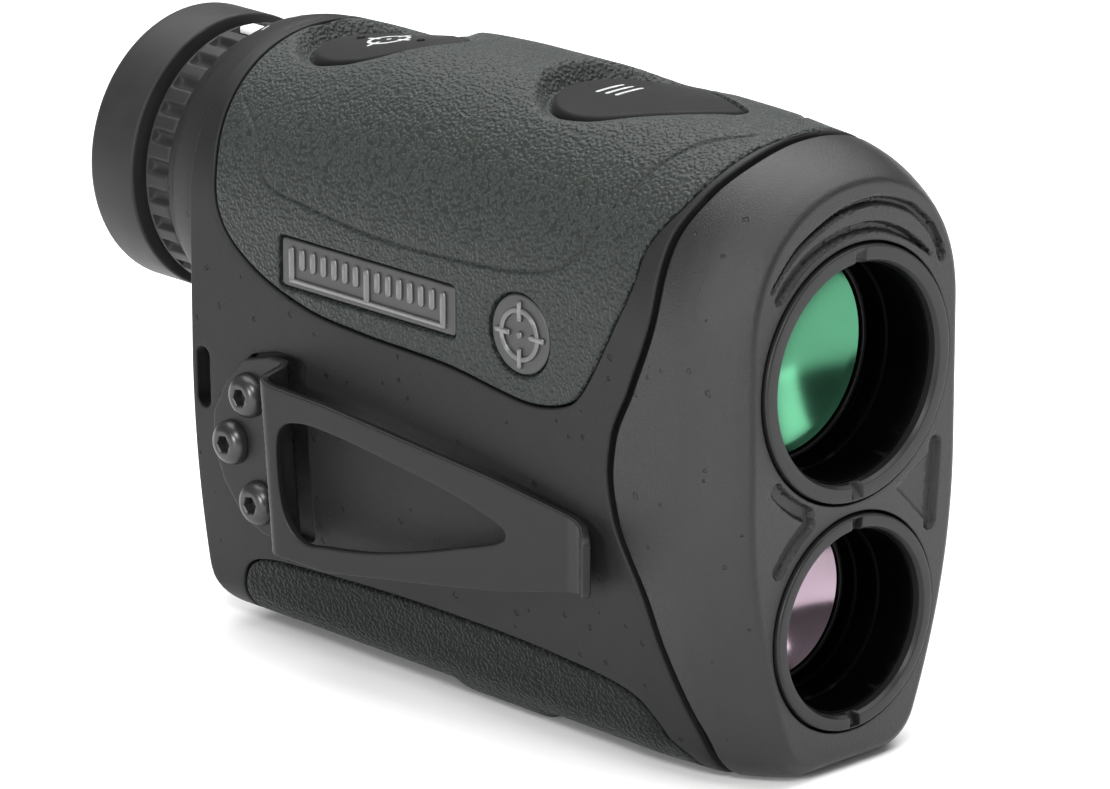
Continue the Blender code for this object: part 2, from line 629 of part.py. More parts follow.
def make_battery():
    tube_profile = [(-86.2, 8.1), (-86.2, 9.3), (-56.0, 9.3), (-56.0, 8.1)]
    make_object("battery_tube", *turned(tube_profile, BATTERY_Z, 24), "barrel_black")
    make_object("battery", *rod_x(7.8, -86.0, -59.4, BATTERY_Z), "battery_wrap")
    make_object("contact_plate", *rod_x(7.7, -57.0, -56.2, BATTERY_Z, count=24), "insert_brass")
    make_spring()


def make_spring():
    """Cone-shaped contact spring between the battery and the contact plate."""
    curve = bpy.data.curves.new("battery_spring", "CURVE")
    curve.dimensions = "3D"
    curve.bevel_depth = 0.3 * MM
    curve.bevel_resolution = 1
    curve.use_fill_caps = True
    turns, steps = 2.0, 24
    line = curve.splines.new("POLY")
    line.points.add(steps)
    for k in range(steps + 1):
        share = k / steps
        angle = 2 * math.pi * turns * share
        radius = 6.0 - 2.6 * share
        place = Vector((-57.7 - 1.0 * share, radius * math.cos(angle), BATTERY_Z + radius * math.sin(angle)))
        line.points[k].co = (*(place * MM), 1.0)
    curve.materials.append(SHADES["spring_steel"])
    item = bpy.data.objects.new("battery_spring", curve)
    bpy.context.scene.collection.objects.link(item)
    item.parent = FRAME


def make_battery_cap():
    """Quarter-turn cap with a fold-up tab, and the ring that seals it."""
    pivot = (-88.3, 0.0, BATTERY_Z)
    cap = make_object("battery_cap", *rod_x(11.2, -92.0, -88.3, BATTERY_Z), "housing_polymer", pivot)
    join(cap, cutter("cap_plug", *rod_x(8.0, -88.9, -86.6, BATTERY_Z)))
    hinge_x, hinge_z = -91.0, BATTERY_Z - 6.0
    cut(cap,
        cutter("tab_seat", *block(-94.0, -89.6, -4.3, 4.3, hinge_z - 1.5, BATTERY_Z + 8.0)),
        cutter("tab_pin_hole", *rod_y(0.8, -6.0, 6.0, hinge_x, hinge_z, count=12)))
    make_object("cap_seal", *tube(-87.9, -86.9, 8.3, 9.3, BATTERY_Z), "seal_rubber", (-87.4, 0.0, BATTERY_Z))
    hinge = (hinge_x, 0.0, hinge_z)
    barrel = [(hinge_x + 1.1 * math.sin(math.radians(a)), hinge_z - 1.1 * math.cos(math.radians(a)))
              for a in range(-120, 121, 30)]
    outline = barrel + [(hinge_x + 0.6, BATTERY_Z + 7.0), (hinge_x - 0.6, BATTERY_Z + 7.0)]
    tab = make_object("cap_tab", *prism_y(outline, -3.9, 3.9), "housing_polymer", hinge)
    cut(tab, cutter("tab_bore", *rod_y(0.75, -6.0, 6.0, hinge_x, hinge_z, count=12)))
    make_object("tab_pin", *rod_y(0.45, -5.6, 5.6, hinge_x, hinge_z, count=12), "screw_steel", hinge)


# ---------------------------------------------------------------- belt clip

def make_clip():
    """Bent strip: a base under the screws, a step out from the side, and a long sprung arm."""
    base_y = -20.6
    reach = -CLIP_REACH
    outer = [(-88.0, base_y), (-73.6, base_y), (-73.3, reach + 0.7), (-72.6, reach), (-22.5, -22.1),
             (-20.2, -22.3), (-18.1, -23.9)]
    inner = [(-17.4, -23.1), (-19.7, -21.2), (-22.4, -21.0), (-72.2, reach + CLIP_THICKNESS),
             (-72.4, base_y + CLIP_THICKNESS), (-88.0, base_y + CLIP_THICKNESS)]
    clip = make_object("belt_clip", *prism_z(outer + inner, 8.0, 40.0), "clip_steel")
    silhouette = CLIP_BASE[:-1] + [(-72.6, 13.0)] + CLIP_ARM
    keep_inside(clip, cutter("clip_outline", *prism_y(silhouette, -32.0, -15.0)))
    cut(clip, cutter("clip_window", *prism_y(CLIP_WINDOW, -32.0, -21.6)))
    for number, (x, z) in enumerate(SCREW_PLACES, 1):
        cut(clip, cutter(f"clip_hole_{number}", *rod_y(1.8, -22.0, -18.0, x, z, count=16)))
        make_clip_screw(number, x, z)


def make_clip_screw(number, x, z):
    """Button-head screw with a hexagon socket."""
    rings = []
    for y, radius in ((-15.0, 1.5), (-20.8, 1.5), (-20.9, 2.8), (-21.3, 2.8), (-22.0, 2.35), (-22.4, 1.6)):
        rings.append([(px, y, pz) for px, pz in circle(radius, 16, x, z)])
    screw = make_object(f"clip_screw_{number}", *stack(rings), "screw_steel")
    cut(screw, cutter(f"clip_socket_{number}", *rod_y(1.05, -23.5, -21.3, x, z, count=6, start=0.3)))


# ---------------------------------------------------------------- assembly

clear_scene()
SHADES = make_materials()
FRAME = bpy.data.objects.new("frame_origin", None)
FRAME.location = (FRAME_X * MM, FRAME_Y * MM, FRAME_Z * MM)
bpy.context.scene.collection.objects.link(FRAME)

POCKETS = [button_pocket("measure_pocket", MEASURE_BUTTON, -77.0),
           button_pocket("menu_pocket", MENU_BUTTON, -35.5)]
make_housing(POCKETS)
make_nose()
make_seal()
make_upper_grip(POCKETS)
make_lower_grip()
make_side_marks()
make_tripod_insert()
make_optics_frame()
make_upper_optics()
make_prisms()
make_lower_optics()
make_eyepiece()
make_button("measure_button", MEASURE_BUTTON, -77.0)
make_button("menu_button", MENU_BUTTON, -35.5)
make_electronics()
make_battery()
make_battery_cap()
make_clip()
bpy.context.view_layer.update()
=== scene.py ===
"""Looks of the handheld laser rangefinder.

Lengths are millimetres in housing coordinates: x = 0 at the flat nose face and negative towards the
eyepiece, y = 0 on the middle plane with the belt clip on the -Y side, z = 0 a little above the feet.
Points become world metres when a piece is made. Outlines on the body's skin are flat (x, t) points,
where t is the way round the body from its ridge.
"""
import math

import bmesh
import bpy
import numpy as np
from mathutils import Matrix, Vector, geometry, kdtree


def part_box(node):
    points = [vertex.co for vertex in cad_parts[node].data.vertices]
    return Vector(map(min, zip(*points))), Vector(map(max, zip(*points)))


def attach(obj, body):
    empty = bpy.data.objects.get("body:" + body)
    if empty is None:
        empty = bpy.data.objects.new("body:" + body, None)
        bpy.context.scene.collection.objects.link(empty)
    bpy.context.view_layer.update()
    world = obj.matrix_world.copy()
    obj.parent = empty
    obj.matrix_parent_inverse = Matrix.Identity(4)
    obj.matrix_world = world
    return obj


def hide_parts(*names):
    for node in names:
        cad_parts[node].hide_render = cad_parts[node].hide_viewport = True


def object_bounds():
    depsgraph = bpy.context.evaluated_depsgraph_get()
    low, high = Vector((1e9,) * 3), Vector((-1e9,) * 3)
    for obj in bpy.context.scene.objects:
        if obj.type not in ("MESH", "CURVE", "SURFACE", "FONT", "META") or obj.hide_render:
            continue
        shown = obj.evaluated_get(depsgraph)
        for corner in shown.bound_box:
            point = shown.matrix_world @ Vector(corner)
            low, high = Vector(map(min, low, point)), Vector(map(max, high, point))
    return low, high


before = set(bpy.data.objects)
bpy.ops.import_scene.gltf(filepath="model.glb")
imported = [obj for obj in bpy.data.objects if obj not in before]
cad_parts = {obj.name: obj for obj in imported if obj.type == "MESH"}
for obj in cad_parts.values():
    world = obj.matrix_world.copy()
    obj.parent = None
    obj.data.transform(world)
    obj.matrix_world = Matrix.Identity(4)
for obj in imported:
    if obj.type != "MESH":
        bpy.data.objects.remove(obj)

CAD_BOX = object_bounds()
MM = 0.001

# ---------------------------------------------------------------- where things are

def box_mm(node):
    low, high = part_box(node)
    return [np.array(corner) / MM - ORIGIN for corner in (low, high)]


def centre_mm(node):
    low, high = box_mm(node)
    return (low + high) / 2


HOUSING_LOW, HOUSING_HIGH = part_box("main_housing")
NOSE_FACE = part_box("nose_cover")[1].x
FEET = 1.85                  # the base plane of the measurements lies this far above the feet
ORIGIN = np.array([NOSE_FACE, (HOUSING_LOW.y + HOUSING_HIGH.y) / 2, CAD_BOX[0][2] + FEET * MM]) / MM
UPPER_Z = centre_mm("upper_bezel")[2]
LOWER_Z = centre_mm("lower_bezel")[2]
EYEPIECE_Z = centre_mm("eyepiece_collar")[2]
BATTERY_Z = centre_mm("battery_tube")[2]
REAR_X = box_mm("main_housing")[0][0]
RIM_X = box_mm("eyecup")[0][0]
TRIPOD_X = centre_mm("tripod_insert")[0]

# ---------------------------------------------------------------- body form

ARCH_Z = 51.7                # where the straight sides turn into the rounded top
FLARE_Z = 34.0               # below this height the sides taper inwards
ARCH_POWER = 2 / 2.15
SIDE_HALF = 20.4             # half width of the straight sides
ARCH_RISE = 22.9
FLARE_DROP = 28.5            # height over which the taper grows
KNEE_Z = 5.9                 # where the tapering side meets the bottom corner
BASE_RUN = 12.5
CORNER = 5.5                 # radius along the bottom edges
# x, half width, ridge height, inward taper at the foot, underside height
STATIONS = [(x, SIDE_HALF, ridge, 2.4, under) for x, ridge, under in (
    (-96.0, 71.1, -0.55), (-90.0, 71.3, -0.55), (-81.6, 71.6, -0.55), (-73.4, 72.8, -0.6),
    (-65.3, 73.9, -0.7), (-57.0, 74.2, -0.8), (-40.0, 74.2, -1.0), (-27.0, 74.0, -1.15), (-18.0, 73.7, -1.3))]
STATIONS += [
    (-13.0, SIDE_HALF, 73.2, 2.9, -1.45), (-9.5, 20.3, 72.9, 3.4, -1.7), (-6.7, 19.9, 72.3, 4.0, -1.85),
    (-2.0, 18.1, 70.4, 4.9, -1.6), (0.0, 16.9, 69.1, 5.3, -0.5),
]
SEAM = [(80.0, -8.7), (72.5, -8.8), (68.5, -10.4), (63.1, -12.2), (55.9, -12.6), (45.2, -16.3),
        (38.5, -19.2), (34.4, -19.7), (29.4, -18.9), (20.0, -14.4), (15.0, -12.7), (10.8, -11.1),
        (6.8, -9.6), (3.3, -8.3), (-0.4, -7.6), (-5.0, -7.2)]
UPPER_GRIP_FRONT = [(-9.9, 74.6), (-10.6, 72.0), (-12.6, 67.5), (-15.8, 62.0), (-16.7, 57.5),
                    (-20.6, 49.5), (-25.2, 42.2), (-27.5, 40.8), (-32.7, 39.8), (-47.0, 41.4)]
UPPER_GRIP_BACK = [(-62.2, 42.0), (-71.6, 43.0), (-81.2, 46.4), (-86.3, 50.8), (-88.0, 58.4),
                   (-89.2, 66.0), (-89.8, 74.6)]
LOWER_GRIP_BACK = [(-85.7, 4.0), (-84.4, 6.6), (-81.5, 7.9), (-72.0, 8.7), (-53.0, 9.3)]
LOWER_GRIP_FRONT = [(-30.7, 8.7), (-17.6, 6.8), (-14.8, 4.4), (-13.2, 2.4), (-11.1, 0.6)]
CREASE = [(-87.0, 65.0), (-81.8, 61.4), (-79.1, 57.1), (-71.5, 55.6), (-59.0, 54.4), (-43.8, 54.6),
          (-32.9, 55.7), (-27.7, 57.5), (-25.9, 59.1), (-23.9, 62.5), (-20.5, 68.3), (-17.2, 71.8),
          (-13.0, 72.9)]
CLIP_WINDOW = [(-67.8, 30.4), (-70.6, 29.0), (-71.0, 24.0), (-69.6, 18.0), (-67.0, 15.6), (-63.0, 15.8),
               (-55.0, 16.9), (-42.6, 20.3), (-34.5, 23.3), (-34.5, 24.2), (-39.6, 26.2), (-51.8, 28.7)]
CLIP_BASE = [(-72.6, 36.0), (-76.5, 36.0), (-80.8, 34.8), (-84.2, 31.5), (-86.6, 27.0),
             (-86.8, 22.8), (-84.9, 18.4), (-81.6, 14.6), (-78.0, 13.2), (-72.6, 13.0)]
PLATE = (-75.7, -45.6, 45.0, 51.0)
EMBLEM = (-34.6, 47.7, 4.8)
SCREW_PLACES = [(-80.1, 30.4), (-83.1, 23.8), (-78.4, 17.1)]
LANYARD = (-93.0, -20.6, 26.3, 34.0)   # centre x and y of the channel's arc, low and high
# back end x, tip x, half width, height at the back end, height at the tip
MEASURE_BUTTON = (-87.7, -65.0, 9.0, 69.7, 73.3)
MENU_BUTTON = (-46.0, -18.6, 9.6, 72.1, 73.9)


def monotone(points):
    """Smooth interpolation through (x, y) points that never overshoots them."""
    points = sorted(points)
    xs = np.array([p[0] for p in points], float)
    ys = np.array([p[1] for p in points], float)
    steps, slopes = np.diff(xs), np.diff(ys) / np.diff(xs)
    tangents = np.zeros(len(xs))
    tangents[0], tangents[-1] = slopes[0], slopes[-1]
    for k in range(1, len(xs) - 1):
        if slopes[k - 1] * slopes[k] > 0:
            wide = 2 * steps[k] + steps[k - 1]
            narrow = steps[k] + 2 * steps[k - 1]
            tangents[k] = (wide + narrow) / (wide / slopes[k - 1] + narrow / slopes[k])

    def value(x):
        x = np.clip(x, xs[0], xs[-1])
        k = np.clip(np.searchsorted(xs, x) - 1, 0, len(xs) - 2)
        u = (x - xs[k]) / steps[k]
        return ((1 + 2 * u) * (1 - u) ** 2 * ys[k] + u * (1 - u) ** 2 * steps[k] * tangents[k]
                + u * u * (3 - 2 * u) * ys[k + 1] + u * u * (u - 1) * steps[k] * tangents[k + 1])
    return value


HALF_WIDTH, RIDGE, TAPER, UNDER = (monotone([(s[0], s[i]) for s in STATIONS]) for i in (1, 2, 3, 4))
seam_x = monotone(SEAM)

ARCH_ANGLES = np.linspace(0.0, math.pi / 2, 400)
ARCH_CURVE = np.array([[SIDE_HALF * math.sin(a) ** ARCH_POWER, ARCH_RISE * math.cos(a) ** ARCH_POWER]
                       for a in ARCH_ANGLES])
ARCH_RUN = np.concatenate([[0.0], np.cumsum(np.hypot(*np.diff(ARCH_CURVE, axis=0).T))])
# lengths round half a section: arch, straight side, tapering side, corner, underside
RUNS = np.array([ARCH_RUN[-1], ARCH_Z - FLARE_Z, FLARE_Z - KNEE_Z, CORNER * math.pi / 2, BASE_RUN])
ENDS = np.cumsum(RUNS)
HALF = float(ENDS[-1])


def smooth_step(low, high, value):
    share = np.clip((value - low) / (high - low), 0.0, 1.0)
    return share * share * (3 - 2 * share)


def half_section(x, t, inset):
    """y and z on half of the body's outline; t is the way round it from the ridge."""
    width = HALF_WIDTH(x) - inset
    top = RIDGE(x) - inset
    floor = UNDER(x) + inset
    taper = TAPER(x)
    corner = np.maximum(1.5, CORNER - inset)
    lean = np.arctan(2 * taper * (FLARE_Z - floor - corner) / FLARE_DROP ** 2)
    knee = floor + corner * (1 - np.sin(lean))
    foot = width - taper * ((FLARE_Z - knee) / FLARE_DROP) ** 2
    centre_y = foot - corner * np.cos(lean)
    angle = np.interp(t, ARCH_RUN, ARCH_ANGLES)
    arch = (width * np.sin(angle) ** ARCH_POWER,
            ARCH_Z + (top - ARCH_Z) * np.maximum(np.cos(angle), 0) ** ARCH_POWER)
    side = (width, ARCH_Z - (t - ENDS[0]))
    low_z = FLARE_Z + (knee - FLARE_Z) * (t - ENDS[1]) / RUNS[2]
    low = (width - taper * ((FLARE_Z - low_z) / FLARE_DROP) ** 2, low_z)
    turn = lean + (math.pi / 2 - lean) * np.clip((t - ENDS[2]) / RUNS[3], 0, 1)
    bend = (centre_y + corner * np.cos(turn), floor + corner - corner * np.sin(turn))
    base = (centre_y * (1 - np.clip((t - ENDS[3]) / RUNS[4], 0, 1)), floor)
    where = [t < ENDS[0], t < ENDS[1], t < ENDS[2], t < ENDS[3]]
    parts = (arch, side, low, bend, base)
    return [np.select(where, [np.broadcast_to(p[i], t.shape) for p in parts[:4]],
                      np.broadcast_to(parts[4][i], t.shape)) for i in (0, 1)]


def teardrop_distance(button, x, y):
    """Distance outside a button's outline; negative inside it."""
    back, tip, half_width = button[:3]
    small = 1.3
    length = (tip - small) - (back + half_width)
    px, py = np.abs(y), x - (back + half_width)
    slope = (half_width - small) / length
    rise = math.sqrt(1 - slope * slope)
    along = px * -slope + py * rise
    return np.where(along < 0, np.hypot(px, py) - half_width,
                    np.where(along > rise * length, np.hypot(px, py - length) - small,
                             px * rise + py * slope - half_width))


def button_height(button, x, y):
    back, tip, half_width, back_z, tip_z = button
    along = (x - back) / (tip - back)
    return back_z + (tip_z - back_z) * along - 1.2 * (y / half_width) ** 2


SCOOP_DROP = 0.75            # rubber round the back of a button lies this far below it
SCOOP_REACH = 2.3            # width of the soft wall round a button


def scooped(x, y, z):
    """Height of the rubber with a soft dish round each button."""
    for button in (MEASURE_BUTTON, MENU_BUTTON):
        away = teardrop_distance(button, x, y)
        share = 1 - smooth_step(0.3, SCOOP_REACH, away)
        forward = smooth_step(button[0] + 0.2 * button[2], button[0] + 1.9 * button[2], x)
        dish = button_height(button, x, np.clip(y, -button[2], button[2])) - SCOOP_DROP * (1 - 0.9 * forward)
        z = np.where((away < SCOOP_REACH) & (z > 60), z - np.maximum(0.0, z - dish) * share, z)
    return z


BOSS_HALF_LENGTH = 7.4
BOSS_DROP = 0.85
HEEL, HEEL_Z = 6.5, 5.5        # radius of the heel and height of its centre


def body_points(x, t, inset=0.0):
    """Points of the body's skin; t is signed, the -Y side being negative."""
    x, t, inset = np.broadcast_arrays(np.asarray(x, float), np.asarray(t, float), np.asarray(inset, float))
    t = (t + HALF) % (2 * HALF) - HALF
    y, z = half_section(x, np.abs(t), inset)
    z = scooped(x, y, z)
    boss = 1 - smooth_step(BOSS_HALF_LENGTH - 0.9, BOSS_HALF_LENGTH + 0.9, np.abs(x - TRIPOD_X))
    under = smooth_step(ENDS[3] - 6.0, ENDS[3] - 1.0, np.abs(t))
    z = z - BOSS_DROP * boss * under
    return np.stack([x, np.sign(t) * y, z], axis=-1)


def way_round(x, height=None, across=None):
    """t on one side for a height on the body, or for a distance from the middle plane at the top."""
    x = np.asarray(x, float)
    low, high = np.zeros(x.shape), np.full(x.shape, HALF if across is None else ENDS[0])
    for _ in range(40):
        middle = (low + high) / 2
        y, z = half_section(x, middle, 0.0)
        beyond = z > height if across is None else y < across
        low, high = np.where(beyond, middle, low), np.where(beyond, high, middle)
    return (low + high) / 2


def rear_x(z):
    """Back face: upright with a round heel."""
    return REAR_X + HEEL - np.sqrt(np.maximum(0.0, HEEL ** 2 - np.minimum(0.0, z - HEEL_Z) ** 2))


# ---------------------------------------------------------------- outlines

def resample(points, spacing, closed=True):
    """Points at even steps along a polyline."""
    points = np.asarray(points, float)
    if closed:
        points = np.vstack([points, points[:1]])
    run = np.concatenate([[0.0], np.cumsum(np.hypot(*np.diff(points, axis=0).T))])
    count = max(3, int(round(run[-1] / spacing)))
    marks = np.linspace(0, run[-1], count + 1)
    line = np.stack([np.interp(marks, run, points[:, i]) for i in (0, 1)], axis=1)
    return line[:-1] if closed else line


def spline(points, spacing, closed=True):
    """Centripetal Catmull-Rom curve through points, at even steps."""
    points = np.asarray(points, float)
    if closed:
        points = np.vstack([points[-1:], points, points[:2]])
    else:
        points = np.vstack([2 * points[0] - points[1], points, 2 * points[-1] - points[-2]])
    line = []
    for p0, p1, p2, p3 in zip(points, points[1:], points[2:], points[3:]):
        t1 = math.sqrt(max(1e-6, math.dist(p0, p1)))
        t2 = t1 + math.sqrt(max(1e-6, math.dist(p1, p2)))
        t3 = t2 + math.sqrt(max(1e-6, math.dist(p2, p3)))
        for t in np.linspace(t1, t2, 12, endpoint=False):
            a1 = p0 * (t1 - t) / t1 + p1 * t / t1
            a2 = p1 * (t2 - t) / (t2 - t1) + p2 * (t - t1) / (t2 - t1)
            a3 = p2 * (t3 - t) / (t3 - t2) + p3 * (t - t2) / (t3 - t2)
            b1 = a1 * (t2 - t) / t2 + a2 * t / t2
            b2 = a2 * (t3 - t) / (t3 - t1) + a3 * (t - t1) / (t3 - t1)
            line.append(b1 * (t2 - t) / (t2 - t1) + b2 * (t - t1) / (t2 - t1))
    if not closed:
        line.append(points[-2])
    return resample(np.array(line), spacing, closed)


def fillet(points, radius, closed=True, steps=5):
    """Polyline with each corner rounded; radius is one number or one for each corner."""
    points = np.asarray(points, float)
    count = len(points)
    radii = [radius] * count if np.isscalar(radius) else radius
    line = []
    for k, here in enumerate(points):
        if radii[k] <= 0 or (not closed and k in (0, count - 1)):
            line.append(here)
            continue
        before, after = points[k - 1] - here, points[(k + 1) % count] - here
        room = 0.48 * min(np.linalg.norm(before), np.linalg.norm(after))
        before, after = before / np.linalg.norm(before), after / np.linalg.norm(after)
        half = math.acos(np.clip(before @ after, -1, 1)) / 2
        if half > math.pi / 2 - 0.02:
            line.append(here)
            continue
        reach = min(radii[k] / math.tan(half), room)
        size = reach * math.tan(half)
        middle = (before + after) / np.linalg.norm(before + after)
        centre = here + middle * size / math.sin(half)
        start, end = here + before * reach - centre, here + after * reach - centre
        sweep = math.pi - 2 * half
        for share in np.linspace(0, 1, steps + 1):
            line.append(centre + (start * math.sin((1 - share) * sweep) + end * math.sin(share * sweep))
                        / math.sin(sweep))
    return np.array(line)


def ring_angles(count):
    return 2 * math.pi * np.arange(count) / count


def circle(radius, count, first=0.0, second=0.0):
    angles = ring_angles(count)
    return np.stack([first + radius * np.cos(angles), second + radius * np.sin(angles)], axis=1)


def rectangle(left, right, low, high):
    return [(left, low), (right, low), (right, high), (left, high)]


def area(loop):
    following = np.roll(loop, -1, axis=0)
    return float(np.sum(loop[:, 0] * following[:, 1] - following[:, 0] * loop[:, 1]) / 2)


def turned_to(loop, positive):
    return loop if (area(loop) > 0) == positive else loop[::-1].copy()


def shifted(loop, distance):
    """Closed loop moved to its left side by a distance."""
    before = loop - np.roll(loop, 1, axis=0)
    after = np.roll(loop, -1, axis=0) - loop
    before /= np.maximum(1e-9, np.linalg.norm(before, axis=1))[:, None]
    after /= np.maximum(1e-9, np.linalg.norm(after, axis=1))[:, None]
    normal = np.stack([-before[:, 1] - after[:, 1], before[:, 0] + after[:, 0]], axis=1)
    normal /= np.maximum(1e-9, np.linalg.norm(normal, axis=1))[:, None]
    lean = np.maximum(0.5, normal[:, 0] * -after[:, 1] + normal[:, 1] * after[:, 0])
    return loop + normal * (distance / lean)[:, None]


def rounded_edge(radius, depth, steps=4):
    """Rows (distance in from the edge, depth below the surface) from the wall's foot to the top."""
    rows = [(0.0, depth)] if depth > radius else []
    for k in range(steps + 1):
        angle = math.pi / 2 * k / steps
        rows.append((radius * (1 - math.cos(angle)), radius * (1 - math.sin(angle))))
    return rows


# ---------------------------------------------------------------- shells

SHARP = 50.0                  # edges bent further than this are shaded sharp


class Shell:
    """Points and faces of one piece, in housing millimetres."""

    def __init__(self):
        self.points, self.faces, self.count = [], [], 0

    def add(self, points):
        points = np.asarray(points, float).reshape(-1, 3)
        self.points.append(points)
        self.count += len(points)
        return np.arange(self.count - len(points), self.count)

    def bridge(self, first, second):
        self.faces += np.stack([first, np.roll(first, -1), np.roll(second, -1), second], axis=1).tolist()

    def bridge_all(self, rows, around=False):
        for first, second in zip(rows, rows[1:] + rows[:1] if around else rows[1:]):
            self.bridge(first, second)

    def cap(self, row):
        """Closes a row with a fan round its middle."""
        middle = self.add(np.concatenate(self.points)[row].mean(axis=0))[0]
        after = np.roll(row, -1)
        self.faces += [[int(a), int(b), int(middle)] for a, b in zip(row, after)]

    def fill(self, loops, place, spacing, extra=None):
        """Even triangles between an outer loop and its holes; loops hold (rows, flat points)."""
        flat = np.concatenate([points for _, points in loops])
        index = np.concatenate([row for row, _ in loops])
        faces, start = [], 0
        for number, (row, points) in enumerate(loops):
            order = list(range(start, start + len(row)))
            faces.append(order if area(points) > 0 else order[::-1])
            start += len(row)
        inner = grid_inside([points for _, points in loops], spacing, extra)
        index = np.concatenate([index, self.add(place(inner))])
        flat = np.vstack([flat, inner])
        result = geometry.delaunay_2d_cdt([Vector(p) for p in flat], [], faces, 0, 1e-7, True)
        source = [ids[0] if ids else -1 for ids in result[3]]
        for face, origin in zip(result[2], result[5]):
            corners = [source[k] for k in face]
            if set(origin) == {0} and min(corners) >= 0:
                self.faces.append([int(index[k]) for k in corners])

    def ring(self, x, radius, z, count):
        """Points round the line at height z along x; the radius may differ from point to point."""
        angles = ring_angles(count)
        across, up = radius * np.cos(angles), z + radius * np.sin(angles)
        return self.add(np.column_stack([np.full(count, x), across, up]))

    def turn(self, profile, z, count=128, closed=True):
        """Ring or cup turned round the line at height z along x, from (x, radius) points."""
        rows = [self.ring(x, radius, z, count) for x, radius in profile]
        self.bridge_all(rows, around=closed)
        return rows

    def slab(self, loop, rows, place, spacing):
        """Closed piece with a rounded edge: a face over an outline, its wall and a plain foot."""
        indices, flat = edged(self, turned_to(loop, True), rows, place)
        self.cap(indices[0])
        self.fill([(indices[-1], flat)], place, spacing)

    def piece(self, name, material, body, replaced=()):
        points = np.concatenate(self.points)
        mesh = bpy.data.meshes.new(name)
        mesh.from_pydata(((points + ORIGIN) * MM).tolist(), [], self.faces)
        work = bmesh.new()
        work.from_mesh(mesh)
        bmesh.ops.remove_doubles(work, verts=work.verts, dist=1e-7)
        bmesh.ops.recalc_face_normals(work, faces=work.faces)
        work.to_mesh(mesh)
        work.free()
        mesh.shade_smooth()
        mesh.set_sharp_from_angle(angle=math.radians(SHARP))
        mesh.materials.append(SHADES[material])
        item = bpy.data.objects.new(name, mesh)
        bpy.context.scene.collection.objects.link(item)
        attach(item, body)
        if replaced:
            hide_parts(*replaced)
        return item


def inside(points, loops):
    """Even-odd test of points sorted into rows of equal second coordinate."""
    result = np.zeros(len(points), bool)
    starts = np.concatenate(loops)
    ends = np.concatenate([np.roll(loop, -1, axis=0) for loop in loops])
    for level in np.unique(points[:, 1]):
        row = points[:, 1] == level
        crossing = (starts[:, 1] <= level) != (ends[:, 1] <= level)
        a, b = starts[crossing], ends[crossing]
        marks = np.sort(a[:, 0] + (level - a[:, 1]) / (b[:, 1] - a[:, 1]) * (b[:, 0] - a[:, 0]))
        result[row] = np.searchsorted(marks, points[row, 0]) % 2 == 1
    return result


def turned_piece(name, material, body, replaced, profile, z, count=128):
    shell = Shell()
    shell.turn(profile, z, count)
    shell.piece(name, material, body, replaced)


def distance_to(points):
    """Function that gives the distances from flat points to the nearest of some fixed points."""
    tree = kdtree.KDTree(len(points))
    for number, point in enumerate(points):
        tree.insert((*point, 0.0), number)
    tree.balance()
    return lambda flat: np.array([tree.find((*point, 0.0))[2] for point in flat])


def grid_inside(loops, spacing, extra=None):
    """Staggered grid inside loops, clear of them, with any extra points kept."""
    edge = np.concatenate([resample(loop, spacing * 0.5) for loop in loops])
    low, high = loops[0].min(axis=0), loops[0].max(axis=0)
    rise = spacing * math.sqrt(3) / 2
    rows = []
    for k, level in enumerate(np.arange(low[1] + rise / 3, high[1], rise)):
        row = np.arange(low[0] + (k % 2) * spacing / 2, high[0], spacing)
        rows.append(np.stack([row, np.full(len(row), level)], axis=1))
    grid = np.vstack(rows)
    grid = grid[inside(grid, loops)]
    if extra is not None and len(extra):
        edge = np.vstack([edge, extra])
    grid = grid[distance_to(edge)(grid) > spacing * 0.55]
    return grid if extra is None else np.vstack([grid, extra])


def edged(shell, loop, rows, place):
    """Edge rows of one loop; returns the rows' indices and the last row's flat points."""
    indices, flat = [], loop
    for distance, depth in rows:
        flat = shifted(loop, distance)
        indices.append(shell.add(place(flat, depth)))
    shell.bridge_all(indices)
    return indices, flat


# ---------------------------------------------------------------- materials

SHADES = {}


